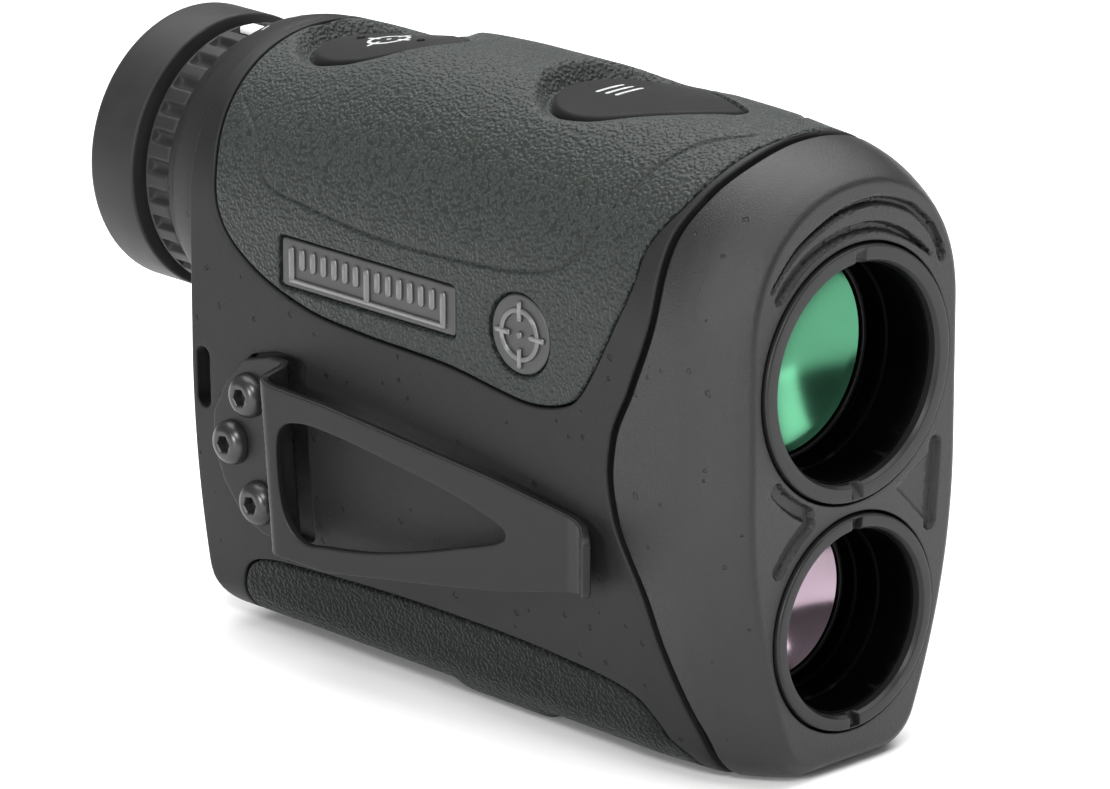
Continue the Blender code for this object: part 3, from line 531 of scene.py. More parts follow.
class Recipe:
    """One procedural material under construction; patterns are fixed to the piece."""

    def __init__(self, name, **sockets):
        self.material = bpy.data.materials.new(name)
        self.material.use_nodes = True
        self.tree = self.material.node_tree
        self.shader = self.tree.nodes["Principled BSDF"]
        self.place = self.tree.nodes.new("ShaderNodeTexCoord").outputs["Object"]
        for socket, value in sockets.items():
            self.shader.inputs[socket.replace("_", " ")].default_value = value
        SHADES[name] = self.material

    def node(self, kind, inputs=None, **settings):
        made = self.tree.nodes.new("ShaderNode" + kind)
        for key, value in settings.items():
            setattr(made, key, value)
        for key, value in (inputs or {}).items():
            if isinstance(value, bpy.types.NodeSocket):
                self.tree.links.new(value, made.inputs[key])
            else:
                made.inputs[key].default_value = value
        return made

    def noise(self, size_mm, detail=2.0, rough=0.5):
        return self.node("TexNoise", {"Vector": self.place, "Scale": 1 / (size_mm * MM), "Detail": detail,
                                      "Roughness": rough}).outputs["Fac"]

    def cells(self, size_mm, feature="F1", output="Distance", vector=None):
        return self.node("TexVoronoi", {"Vector": vector or self.place, "Scale": 1 / (size_mm * MM)},
                         feature=feature).outputs[output]

    def fit(self, value, low, high, to_low=0.0, to_high=1.0, smooth=False):
        return self.node("MapRange", {"Value": value, "From Min": low, "From Max": high, "To Min": to_low,
                                      "To Max": to_high},
                         interpolation_type="SMOOTHSTEP" if smooth else "LINEAR").outputs["Result"]

    def math(self, operation, first, second=0.0):
        return self.node("Math", {0: first, 1: second}, operation=operation).outputs[0]

    def blend(self, amount, first, second):
        made = self.node("Mix", data_type="RGBA")
        for socket, value in ((made.inputs[0], amount), (made.inputs[6], first), (made.inputs[7], second)):
            if isinstance(value, bpy.types.NodeSocket):
                self.tree.links.new(value, socket)
            else:
                socket.default_value = value if socket.type == "VALUE" else (*value[:3], 1.0)
        return made.outputs[2]

    def clouded(self, size_mm, detail, colour, darker, lighter):
        """Colour that drifts between two tones, with the cloud that drives it."""
        cloud = self.noise(size_mm, detail)
        return cloud, self.blend(self.fit(cloud, 0.3, 0.7), scaled(colour, darker), scaled(colour, lighter))

    def warped(self, scale, detail, reach_mm):
        """Coordinates pushed about by noise, so that cells lose their straight edges."""
        bend = self.node("TexNoise", {"Vector": self.place, "Scale": scale, "Detail": detail})
        push = self.node("VectorMath", {0: bend.outputs["Color"], "Scale": reach_mm * MM},
                         operation="SCALE").outputs[0]
        return self.node("VectorMath", {0: self.place, 1: push}, operation="ADD").outputs[0]

    def set(self, socket, value):
        self.tree.links.new(value, self.shader.inputs[socket])

    def bump(self, height, depth_mm, strength=1.0):
        previous = self.shader.inputs["Normal"].links
        inputs = {"Height": height, "Distance": depth_mm * MM, "Strength": strength}
        if previous:
            inputs["Normal"] = previous[0].from_socket
        self.set("Normal", self.node("Bump", inputs).outputs["Normal"])

    def edges(self, low=0.52, high=0.60):
        """1 on worn convex edges, 0 elsewhere."""
        return self.fit(self.node("NewGeometry").outputs["Pointiness"], low, high)


def scaled(colour, factor):
    return tuple(min(1.0, c * factor) for c in colour)


PIT_SPACING = 2.1             # mean distance between the small pits in the plastic


def moulded_plastic(name, colour, roughness, specular, pits=1.0, grain=1.0):
    """Fine spark-eroded polymer with sparse small pits and rubbed edges."""
    recipe = Recipe(name, Specular_IOR_Level=specular)
    cloud, tone = recipe.clouded(9.0, 3.0, colour, 0.90, 1.10)
    speckle = recipe.noise(0.22, 3.0, 0.7)
    tone = recipe.blend(recipe.fit(speckle, 0.45, 0.75, 0.0, 0.5), tone, scaled(colour, 1.45))
    warped = recipe.warped(900.0, 2.0, 0.7)
    distance = recipe.cells(PIT_SPACING, vector=warped)
    colours = recipe.cells(PIT_SPACING, output="Color", vector=warped)
    chance = recipe.node("SeparateColor", {"Color": colours}).outputs[0]
    size = recipe.fit(chance, 0.35, 1.0, -0.02, 0.22)
    pit = recipe.fit(recipe.math("SUBTRACT", size, distance), 0.0, 0.05, smooth=True)
    tone = recipe.blend(recipe.math("MULTIPLY", pit, 0.55 * pits), tone, scaled(colour, 0.35))
    tone = recipe.blend(recipe.math("MULTIPLY", recipe.edges(), 0.35), tone, scaled(colour, 2.4))
    recipe.set("Base Color", tone)
    recipe.set("Roughness", recipe.fit(cloud, 0.25, 0.75, roughness - 0.05, roughness + 0.05))
    recipe.bump(speckle, 0.045 * grain, 0.7)
    recipe.bump(recipe.math("MULTIPLY", pit, -1.0), 0.22 * pits, 1.0)


def pebbled_rubber(name, colour, roughness, specular, cell=0.44, depth=0.16):
    """Soft rubber with a leather-like grain of rounded pebbles."""
    recipe = Recipe(name, Specular_IOR_Level=specular, Sheen_Weight=0.08, Sheen_Roughness=0.5)
    recipe.shader.inputs["Sheen Tint"].default_value = (0.75, 0.85, 0.82, 1.0)
    grain = recipe.cells(cell, "SMOOTH_F1", vector=recipe.warped(700.0, 2.0, 0.6))
    pebble = recipe.fit(grain, 0.15, 0.62, 1.0, 0.0, smooth=True)
    cloud, tone = recipe.clouded(7.0, 3.0, colour, 0.9, 1.12)
    tone = recipe.blend(recipe.math("MULTIPLY", pebble, 0.6), scaled(colour, 0.55), tone)
    recipe.set("Base Color", tone)
    recipe.set("Roughness", recipe.fit(recipe.noise(0.4), 0.3, 0.7, roughness - 0.08, roughness + 0.08))
    recipe.bump(pebble, depth, 1.0)
    recipe.bump(recipe.noise(0.12, 2.0), 0.02, 0.4)


def plain_rubber(name, colour, roughness, specular, grain=0.16):
    """Smooth moulded rubber with a dusty bloom."""
    recipe = Recipe(name, Specular_IOR_Level=specular, Sheen_Weight=0.05, Sheen_Roughness=0.4)
    cloud, tone = recipe.clouded(5.0, 4.0, colour, 0.88, 1.15)
    dust = recipe.noise(grain, 3.0, 0.7)
    tone = recipe.blend(recipe.fit(dust, 0.5, 0.8, 0.0, 0.5), tone, scaled(colour, 1.7))
    tone = recipe.blend(recipe.math("MULTIPLY", recipe.edges(), 0.35), tone, scaled(colour, 2.6))
    recipe.set("Base Color", tone)
    recipe.set("Roughness", recipe.fit(cloud, 0.25, 0.75, roughness - 0.07, roughness + 0.07))
    recipe.bump(dust, 0.02, 0.5)


def worked_metal(name, colour, roughness, metallic, specular=0.5, stretch=(1.0, 1.0, 1.0), wear=2.0):
    """Metal or painted metal with fine tool marks, smudges and brighter edges."""
    recipe = Recipe(name, Metallic=metallic, Specular_IOR_Level=specular)
    along = recipe.node("Mapping", {"Vector": recipe.place, "Scale": stretch}).outputs[0]
    marks = recipe.node("TexNoise", {"Vector": along, "Scale": 3500.0, "Detail": 3.0}).outputs["Fac"]
    smudge, tone = recipe.clouded(6.0, 4.0, colour, 0.88, 1.1)
    tone = recipe.blend(recipe.math("MULTIPLY", recipe.edges(), 0.4), tone, scaled(colour, wear))
    recipe.set("Base Color", tone)
    recipe.set("Roughness", recipe.fit(smudge, 0.2, 0.8, max(0.03, roughness - 0.08), roughness + 0.08))
    recipe.bump(marks, 0.012, 0.4)


def coated_glass(name, colour, metallic, roughness):
    """Lens whose coating sends back one colour, with faint smears."""
    recipe = Recipe(name, Metallic=metallic)
    smear = recipe.noise(4.0, 5.0, 0.6)
    tones = scaled(colour, 0.94), scaled(colour, 1.05)
    recipe.set("Base Color", recipe.blend(recipe.fit(smear, 0.3, 0.7), *tones))
    recipe.set("Roughness", recipe.fit(smear, 0.45, 0.8, roughness, roughness + 0.03))


def clear_glass(name, colour):
    recipe = Recipe(name, Transmission_Weight=1.0, IOR=1.52)
    smear = recipe.noise(3.0, 4.0)
    recipe.set("Base Color", recipe.blend(recipe.fit(smear, 0.3, 0.7), colour, scaled(colour, 0.97)))
    recipe.set("Roughness", recipe.fit(smear, 0.4, 0.8, 0.01, 0.04))


def circuit(name):
    """Green solder mask over copper tracks."""
    recipe = Recipe(name, Specular_IOR_Level=0.5)
    tracks = recipe.node("TexBrick", {"Vector": recipe.place, "Scale": 350.0, "Mortar Size": 0.03,
                                      "Color1": (0.01, 0.09, 0.03, 1), "Color2": (0.012, 0.11, 0.035, 1),
                                      "Mortar": (0.05, 0.20, 0.06, 1)})
    recipe.set("Base Color", tracks.outputs["Color"])
    recipe.set("Roughness", recipe.fit(recipe.noise(2.0), 0.3, 0.7, 0.35, 0.5))
    recipe.bump(tracks.outputs["Fac"], 0.03, 0.5)


def make_shades():
    moulded_plastic("housing_polymer", (0.0105, 0.0105, 0.0107), 0.47, 0.19, 1.2, 1.8)
    moulded_plastic("nose_polymer", (0.0095, 0.0095, 0.0097), 0.33, 0.36, 1.4, 2.8)
    pebbled_rubber("grip_rubber", (0.012, 0.0165, 0.0135), 0.50, 0.32)
    # painted shade: the grip rubber again, made darker and less glossy because the lower grip gets less light
    pebbled_rubber("grip_rubber_painted_shade", (0.0045, 0.0058, 0.0050), 0.58, 0.14)
    plain_rubber("eyecup_rubber", (0.014, 0.014, 0.0144), 0.52, 0.22)
    plain_rubber("button_rubber", (0.005, 0.005, 0.0052), 0.50, 0.10, 0.22)
    plain_rubber("seal_rubber", (0.0015, 0.0015, 0.0015), 0.80, 0.04)
    worked_metal("bezel_metal", (0.010, 0.010, 0.0105), 0.40, 0.0, 0.30)
    worked_metal("barrel_black", (0.0006, 0.0006, 0.0006), 0.45, 0.0, 0.03, wear=25.0)
    worked_metal("clip_steel", (0.010, 0.010, 0.0103), 0.40, 0.0, 0.22, wear=6.0)
    worked_metal("screw_steel", (0.050, 0.050, 0.051), 0.32, 0.7, 0.50)
    worked_metal("plate_metal", (0.046, 0.046, 0.047), 0.45, 0.3, 0.40, (1.0, 1.0, 14.0))
    worked_metal("index_white", (0.75, 0.75, 0.74), 0.55, 0.0, 0.35, wear=1.1)
    coated_glass("green_coated_glass", (0.060, 0.200, 0.115), 1.0, 0.16)
    coated_glass("pink_coated_glass", (0.30, 0.23, 0.275), 1.0, 0.13)
    coated_glass("eye_coated_glass", (0.030, 0.045, 0.060), 1.0, 0.05)
    clear_glass("optical_glass", (0.93, 0.97, 0.97))
    worked_metal("frame_alloy", (0.35, 0.355, 0.36), 0.45, 0.9)
    circuit("circuit_board")
    worked_metal("component_metal", (0.55, 0.55, 0.56), 0.35, 0.9)
    plain_rubber("battery_wrap", (0.05, 0.06, 0.09), 0.35, 0.5, 0.8)
    worked_metal("insert_brass", (0.60, 0.44, 0.18), 0.35, 1.0)
    worked_metal("spring_steel", (0.60, 0.60, 0.61), 0.30, 1.0)
    worked_metal("raised_marks", (0.12, 0.12, 0.122), 0.36, 0.8, 0.50, wear=2.2)
    plain_rubber("printed_white", (0.42, 0.43, 0.43), 0.55, 0.30)


# ---------------------------------------------------------------- body pieces

SEAM_HALF_GAP = 0.5
EDGE = 0.35                  # rounding of the moulded edges
NOSE_COLUMNS = 560
FACE_ROUND = 0.55


def ring_t(count, first=-HALF):
    return first + 2 * HALF * np.arange(count) / count


def seam_line(t, shift, inset=0.0):
    """x of the seam at each place round the body."""
    x = np.full(len(t), -12.0)
    for _ in range(12):
        x = 0.5 * x + 0.5 * (seam_x(body_points(x, t, inset)[:, 2]) + shift)
    return x


def arc_groove(y, z, axis_z, table):
    """Depth share of a groove that runs round an axis, from (degrees, radius, half width) rows."""
    angle = np.degrees(np.arctan2(z - axis_z, y))
    angle = np.where(angle < -160, angle + 360, angle)
    radius = np.hypot(y, z - axis_z)
    rows = sorted(table)
    first, last = rows[0], rows[-1]
    clamped = np.clip(angle, first[0], last[0])
    centre = np.interp(clamped, [r[0] for r in rows], [r[1] for r in rows])
    half = np.interp(clamped, [r[0] for r in rows], [r[2] for r in rows])
    beyond = np.radians(np.abs(angle - clamped)) * centre
    away = np.hypot(radius - centre, beyond) - half
    return 1 - smooth_step(-0.22, 0.16, away)


OUTER_GROOVE = [(138, 18.95, 0.10), (133, 19.0, 0.17), (121, 19.45, 0.25), (109, 19.6, 0.30),
                (96, 20.0, 0.36), (80, 20.28, 0.41), (63, 20.1, 0.45), (50, 19.35, 0.55), (42, 18.5, 0.56),
                (39, 18.1, 0.56)]
INNER_GROOVE = [(138, 17.25, 0.66), (135, 17.25, 0.72), (118, 17.4, 0.64), (101, 17.3, 0.58),
                (78, 17.28, 0.51), (64, 17.0, 0.40), (50, 16.95, 0.22), (44, 17.0, 0.05)]
WEB_UPPER = [(-139, 17.15, 0.85), (-117, 17.15, 0.85)]
WEB_LOWER = [(119, 15.6, 0.80), (144, 15.5, 0.85)]
SLOT = ((13.5, 34.9), (12.75, 25.4), 0.85)
HOLLOW = [(7.2, 30.9), (12.6, 33.9), (12.0, 26.0)]


def segment_distance(y, z, start, end):
    start, end = np.array(start), np.array(end)
    along = np.clip(((y - start[0]) * (end - start)[0] + (z - start[1]) * (end - start)[1])
                    / ((end - start) @ (end - start)), 0, 1)
    return np.hypot(y - start[0] - along * (end - start)[0], z - start[1] - along * (end - start)[1])


def nose_relief(y, z):
    """Depth of the moulded hollows in the nose face."""
    depth = 0.9 * np.maximum(arc_groove(y, z, UPPER_Z, OUTER_GROOVE), arc_groove(y, z, UPPER_Z, INNER_GROOVE))
    web = np.maximum(arc_groove(y, z, UPPER_Z, WEB_UPPER), arc_groove(y, z, LOWER_Z, WEB_LOWER))
    slot = 1 - smooth_step(-0.22, 0.16, segment_distance(y, z, SLOT[0], SLOT[1]) - SLOT[2])
    corners = turned_to(np.array(HOLLOW), True)
    outside = np.full(y.shape, -9.0)
    for a, b in zip(corners, np.roll(corners, -1, axis=0)):
        side = ((b - a)[1] * (y - a[0]) - (b - a)[0] * (z - a[1])) / math.dist(a, b)
        outside = np.maximum(outside, side)
    hollow = 0.35 * (1 - smooth_step(-0.3, 0.3, outside))
    return np.maximum.reduce([depth, 0.8 * web, 0.8 * slot, hollow])


def make_nose():
    shell = Shell()
    t = ring_t(NOSE_COLUMNS)
    seam = seam_line(t, SEAM_HALF_GAP)
    rows = [shell.add(body_points(seam, t, 2.2))]
    for distance, depth in rounded_edge(EDGE, 0.36):
        rows.append(shell.add(body_points(seam + distance, t, depth)))
    start = seam + EDGE
    for share in np.linspace(0, 1, 44)[1:-1]:
        rows.append(shell.add(body_points(start * (1 - share) - FACE_ROUND * share, t)))
    for angle in np.linspace(0, math.pi / 2, 7):
        inset = FACE_ROUND * (1 - math.cos(angle))
        rows.append(shell.add(body_points(-FACE_ROUND * (1 - math.sin(angle)), t, inset)))
    shell.bridge_all(rows)
    face = np.concatenate(shell.points)[rows[-1]][:, 1:]

    def on_face(flat, depth=0.0):
        relief = nose_relief(flat[:, 0], flat[:, 1]) if np.isscalar(depth) and depth == 0.0 else 0.0
        return np.column_stack([np.zeros(len(flat)) - depth - relief, flat])

    loops = [(rows[-1], face)]
    for radius, z, seat in ((15.62, UPPER_Z, 14.9), (13.32, LOWER_Z, 12.6)):
        loop = circle(radius, 300, 0.0, z)[::-1]
        indices, flat = edged(shell, loop, rounded_edge(0.18, 3.8, 3), on_face)
        wall = shell.add(np.column_stack([np.full(300, -3.8), circle(seat, 300, 0.0, z)[::-1]]))
        shell.bridge(wall, indices[0])
        loops.append((indices[-1], flat))
    shell.fill(loops, on_face, 0.26)
    shell.piece("nose_shell", "nose_polymer", "root", ["nose_cover"])


def make_seal():
    shell = Shell()
    t = ring_t(NOSE_COLUMNS)
    rows = []
    for shift, inset in ((-0.6, 2.0), (-0.6, 0.95), (-0.2, 0.85), (0.2, 0.85), (0.6, 0.95), (0.6, 2.0)):
        rows.append(shell.add(body_points(seam_line(t, shift, inset), t, inset)))
    shell.bridge_all(rows)
    shell.piece("seam_gasket", "seal_rubber", "root", ["nose_seal"])


def side_loop(points, side=-1.0):
    """Side-view outline (x, z) as (x, t) on one side of the body."""
    points = np.asarray(points, float)
    return np.column_stack([points[:, 0], side * way_round(points[:, 0], height=points[:, 1])])


def upper_grip_loop(growth=0.0):
    edge = side_loop(UPPER_GRIP_FRONT + UPPER_GRIP_BACK)
    mirrored = edge[::-1] * [1, -1]
    loop = np.vstack([edge[1:-1], [[edge[-1][0], 0.0]], mirrored[1:-1], [[edge[0][0], 0.0]]])
    return shifted(turned_to(spline(loop, 0.5), True), -growth)


def lower_grip_loop(growth=0.0):
    edge = side_loop(LOWER_GRIP_BACK + LOWER_GRIP_FRONT)
    mirrored = edge[::-1] * [1, -1] - [0, 2 * HALF]
    middle = -HALF
    loop = np.vstack([edge, [[-9.7, middle + 11.0], [-9.5, middle], [-9.7, middle - 11.0]], mirrored,
                      [[-85.6, middle - 15.0], [-85.6, middle + 15.0]]])
    return shifted(turned_to(spline(loop, 0.5), True), -growth)


def button_loop(button, growth, spacing=0.4):
    """Teardrop outline (x, y)."""
    back, tip, half_width = button[:3]
    centre, radius, nose = back + half_width, half_width + growth, 1.3 + growth
    lean = math.acos((radius - nose) / (tip - 1.3 - centre))
    line = [(centre + radius * math.cos(a), radius * math.sin(a))
            for a in np.linspace(lean, 2 * math.pi - lean, 60)]
    line += [(tip - 1.3 + nose * math.cos(a), nose * math.sin(a)) for a in np.linspace(-lean, lean, 24)]
    return resample(turned_to(np.array(line), True), spacing)


def to_top(loop):
    """(x, y) outline near the ridge as (x, t)."""
    sign = np.sign(loop[:, 1])
    return np.column_stack([loop[:, 0], sign * way_round(loop[:, 0], across=np.abs(loop[:, 1]))])


def plate_loop(growth, spacing=0.5):
    back, front, low, high = PLATE
    corners = rectangle(back - growth, front + growth, low - growth, high + growth)
    return resample(fillet(corners, 0.5 + growth), spacing)


def on_body(flat, depth=0.0):
    return body_points(flat[:, 0], flat[:, 1], depth)


def make_upper_grip():
    """Rubber saddle over both sides, with seats for the buttons, plate and emblem and a moulded crease."""
    shell = Shell()
    outer, flat = edged(shell, upper_grip_loop(), rounded_edge(0.45, 1.3), on_body)
    loops = [(outer[-1], flat)]
    holes = [(to_top(button_loop(b, 0.42)), 3.0) for b in (MEASURE_BUTTON, MENU_BUTTON)]
    holes.append((side_loop(plate_loop(0.35)), 1.4))
    holes.append((side_loop(circle(EMBLEM[2] + 0.35, 70, *EMBLEM[:2])), 1.4))
    for hole, depth in holes:
        indices, flat = edged(shell, turned_to(hole, False), rounded_edge(0.28, depth), on_body)
        shell.cap(indices[0])
        loops.append((indices[-1], flat))
    groove = []
    for side in (-1, 1):
        line = spline(side_loop(CREASE, side), 0.45, closed=False)
        normal = np.gradient(line, axis=0) @ np.array([[0, 1], [-1, 0]])
        normal /= np.linalg.norm(normal, axis=1)[:, None]
        groove += [line + normal * d for d in (-0.75, -0.5, -0.32, -0.18, -0.06, 0.06, 0.18, 0.32, 0.5)]
    groove = np.vstack(groove)
    creases = [spline(side_loop(CREASE, side), 0.2, closed=False) for side in (-1, 1)]
    from_crease = distance_to(np.vstack(creases))

    def creased(flat):
        return body_points(flat[:, 0], flat[:, 1], 0.30 * (1 - smooth_step(0.05, 0.42, from_crease(flat))))

    from_edges = distance_to(np.concatenate([points for _, points in loops]))
    shell.fill(loops, creased, 0.75, groove[from_edges(groove) > 0.45])
    shell.piece("upper_grip_skin", "grip_rubber", "root", ["upper_grip"])


def make_lower_grip():
    shell = Shell()
    outer, flat = edged(shell, lower_grip_loop(), rounded_edge(0.45, 1.3), on_body)
    loops = [(outer[-1], flat)]
    hole = turned_to(circle(6.6, 90, TRIPOD_X, -HALF), False)
    indices, flat = edged(shell, hole, rounded_edge(0.28, 1.4), on_body)
    loops.append((indices[-1], flat))
    shell.fill(loops, on_body, 0.8)
    # the lower grip is the same rubber as the upper grip; its darker copy of the grip rubber is painted shade
    shell.piece("lower_grip_skin", "grip_rubber_painted_shade", "root", ["lower_grip"])


REAR_ROUND = 0.45
BACK_EDGE = 0.15
CUT_T = 62.0                 # the skin is laid open along this line on the far side


def make_housing():
    shell = Shell()
    t = ring_t(420, CUT_T - 2 * HALF)
    seam = seam_line(t, -SEAM_HALF_GAP)
    rows = [shell.add(body_points(seam, t, 2.4))]
    for distance, depth in rounded_edge(EDGE, 0.36):
        rows.append(shell.add(body_points(seam - distance, t, depth)))
    shell.bridge_all(rows)
    front = np.column_stack([seam - EDGE, t])

    back_rows, back_flat = [], None
    for angle in np.linspace(0, math.pi / 2, 9):
        inset = REAR_ROUND * (1 - math.cos(angle))
        z = body_points(REAR_X, t, inset)[:, 2]
        x = rear_x(z) + REAR_ROUND * (1 - math.sin(angle))
        if back_flat is None:
            back_flat = np.column_stack([x, t])
        back_rows.append(shell.add(body_points(x, t, inset)))
    shell.bridge_all(back_rows)

    steps = 60
    line_front, line_back = front[0, 0], back_flat[0, 0]
    along = np.linspace(line_front, line_back, steps + 1)[1:-1]
    seam_side = np.column_stack([along, np.full(steps - 1, CUT_T)])
    opened = shell.add(on_body(seam_side))
    low_side = seam_side - [0, 2 * HALF]
    row = np.concatenate([rows[-1], rows[-1][:1], opened, back_rows[0][:1], back_rows[0][::-1], opened[::-1]])
    flat = np.concatenate([front, front[:1] + [0, 2 * HALF], seam_side, back_flat[:1] + [0, 2 * HALF],
                           back_flat[::-1], low_side[::-1]])
    loops = [(row, flat)]
    holes = [(upper_grip_loop(0.28), 1.6), (lower_grip_loop(0.28), 1.6)]
    base = np.array(CLIP_BASE)
    base[base[:, 0] > -73.0, 0] += 0.9          # room for the fold
    holes.append((side_loop(shifted(resample(fillet(base, 1.0), 0.5), 0.3 if area(base) < 0 else -0.3)), 1.2))
    centre_x, centre_y, low, high = LANYARD
    corners = [(float(rear_x(z)) + away, z) for away, z in rectangle(0.95, 3.3, low, high)]
    stadium = resample(fillet(corners, 1.1, steps=8), 0.3)
    for number, (hole, depth) in enumerate(holes):
        indices, points = edged(shell, turned_to(hole, False), rounded_edge(0.25, depth), on_body)
        if number == 2:
            shell.cap(indices[0])
        loops.append((indices[-1], points))
    hole = turned_to(side_loop(stadium), False)
    indices, points = edged(shell, hole, rounded_edge(0.25, 0.26), on_body)
    loops.append((indices[-1], points))
    shell.fill(loops, on_body, 0.85)

    rim = np.concatenate(shell.points)[indices[0]]
    radius = rim[:, 0] - centre_x
    end = np.arccos(np.clip((rear_x(rim[:, 2]) + BACK_EDGE - centre_x) / (0.75 * radius), -1, 1))
    channel = [indices[0]]
    for share in np.linspace(0, 1, 14)[1:]:
        sweep, size = end * share, radius * (1 - 0.25 * share)
        across = centre_y + 0.3 + size * np.sin(sweep) + 2.4 * share ** 2
        channel.append(shell.add(np.column_stack([centre_x + size * np.cos(sweep), across, rim[:, 2]])))
    shell.bridge_all(channel)
    make_back_face(shell, back_rows[-1], channel[-1])
    shell.piece("housing_skin", "housing_polymer", "root", ["main_housing"])


def make_back_face(shell, outer_row, slot_row):
    points = np.concatenate(shell.points)

    def on_back(flat, depth=0.0):
        return np.column_stack([rear_x(flat[:, 1]) + depth, flat])

    loops = [(outer_row, points[outer_row][:, 1:])]
    seat = turned_to(circle(11.55, 160, 0.0, BATTERY_Z), False)
    indices, flat = edged(shell, seat, rounded_edge(0.3, 3.6), on_back)
    shell.cap(indices[0])
    loops.append((indices[-1], flat))
    slot = points[slot_row][:, 1:]
    if area(slot) > 0:
        slot, slot_row = slot[::-1], slot_row[::-1]
    flat = shifted(slot, 0.15)
    rim = shell.add(on_back(flat))
    shell.bridge(slot_row, rim)
    loops.append((rim, flat))
    shell.fill(loops, on_back, 1.1)


# ---------------------------------------------------------------- lenses

def make_bezel(name, replaced, radius, inner, z):
    """Front ring with a conical lip and two spanner notches."""
    front = box_mm(replaced)[1][0]
    profile = fillet([(-3.4, inner), (-3.4, radius), (front, radius), (front, inner + 0.35),
                      (front - 0.5, inner)], [0.05, 0.1, 0.32, 0.16, 0.12])
    shell = Shell()
    count = 360
    rows = shell.turn(profile, z, count)
    points = np.concatenate(shell.points)
    for row in rows:
        y, height = points[row][:, 1], points[row][:, 2] - z
        reach = np.hypot(y, height)
        notch = (1 - smooth_step(0.62, 0.85, np.abs(y))) * (1 - smooth_step(inner + 1.4, inner + 1.6, reach))
        x = points[row][:, 0]
        points[row, 0] = np.where(notch > 0, x * (1 - notch) + np.minimum(x, front - 1.1) * notch, x)
    shell.points = [points]
    shell.piece(name, "bezel_metal", "root", [replaced])


def ringed(start, end, radius, pitch, depth, width):
    """Bore profile with fine light-trap grooves."""
    rows, x = [], start
    step = -pitch if end < start else pitch
    while (end - x) * step > abs(step) * abs(step):
        rows += [(x, radius), (x + step * (1 - width), radius), (x + step * (1 - width / 2), radius + depth)]
        x += step
    return rows + [(end, radius)]


def make_barrels():
    bore = [(-0.9, 12.95), (-3.3, 12.95), (-3.6, 13.2), (-7.4, 13.2), (-7.6, 12.9), (-9.8, 12.9),
            (-9.95, 12.98), (-10.1, 12.9), (-12.2, 12.9), (-12.3, 12.62), (-16.5, 12.62),
            (-16.5, 12.5), (-38.0, 12.5)]
    outside = [(-38.0, 13.6), (-8.4, 13.6), (-8.4, 14.6), (-3.7, 14.6), (-3.7, 13.15), (-0.9, 13.15)]
    turned_piece("upper_barrel_tube", "barrel_black", "root", ["upper_barrel"],
                 fillet(bore + outside, 0.06, steps=2), UPPER_Z, 192)
    bore = [(-0.9, 10.95), (-3.3, 10.95), (-6.0, 10.9), (-6.2, 10.6), (-9.3, 10.55), (-9.5, 10.2),
            (-13.3, 10.2), (-13.4, 9.95),
            (-17.0, 9.95), (-17.0, 9.7), (-33.0, 9.7)]
    outside = [(-33.0, 10.8), (-8.4, 10.8), (-8.4, 12.3), (-3.7, 12.3), (-3.7, 11.15), (-0.9, 11.15)]
    turned_piece("lower_barrel_tube", "barrel_black", "root", ["lower_barrel"],
                 fillet(bore + outside, 0.06, steps=2), LOWER_Z, 192)


def dish(x_edge, curve, radius, steps=26):
    """Profile of a polished spherical face from the middle to its edge; a negative curve is hollow."""
    rows = []
    for r in radius * np.linspace(0.02, 1.0, steps):
        sag = abs(curve) - math.sqrt(curve ** 2 - radius ** 2) - (abs(curve) - math.sqrt(curve ** 2 - r * r))
        rows.append((x_edge + math.copysign(sag, curve), float(r)))
    return rows


def make_lens(name, replaced, material, x_edge, curve, thickness, radius, z, body="root"):
    """Polished element: coated face, ground bevel and a flat back; thickness points away from the viewer."""
    shell = Shell()
    side = math.copysign(1.0, thickness)
    face = dish(x_edge - 0.35 * side, curve * side, radius - 0.75)
    rim = [(x_edge - 0.05 * side, radius - 0.35), (x_edge - 0.2 * side, radius), (x_edge - thickness, radius)]
    rows = shell.turn(face + rim + [(x_edge - thickness, 0.3)], z, 160, closed=False)
    shell.cap(rows[0])
    shell.cap(rows[-1])
    shell.piece(name, material, body, [replaced])


def make_retaining_rings():
    """Thin threaded rings that hold each objective lens in its barrel."""
    for name, x, radius, inner, z in (("upper_lens_ring", -10.5, 12.85, 12.3, UPPER_Z),
                                      ("lower_lens_ring", -11.2, 10.15, 9.6, LOWER_Z)):
        section = [(x, inner), (x, radius), (x - 0.4, radius), (x - 0.4, inner)]
        turned_piece(name, "bezel_metal", "root", (), fillet(section, 0.12, steps=3), z, 192)


# ---------------------------------------------------------------- eyepiece

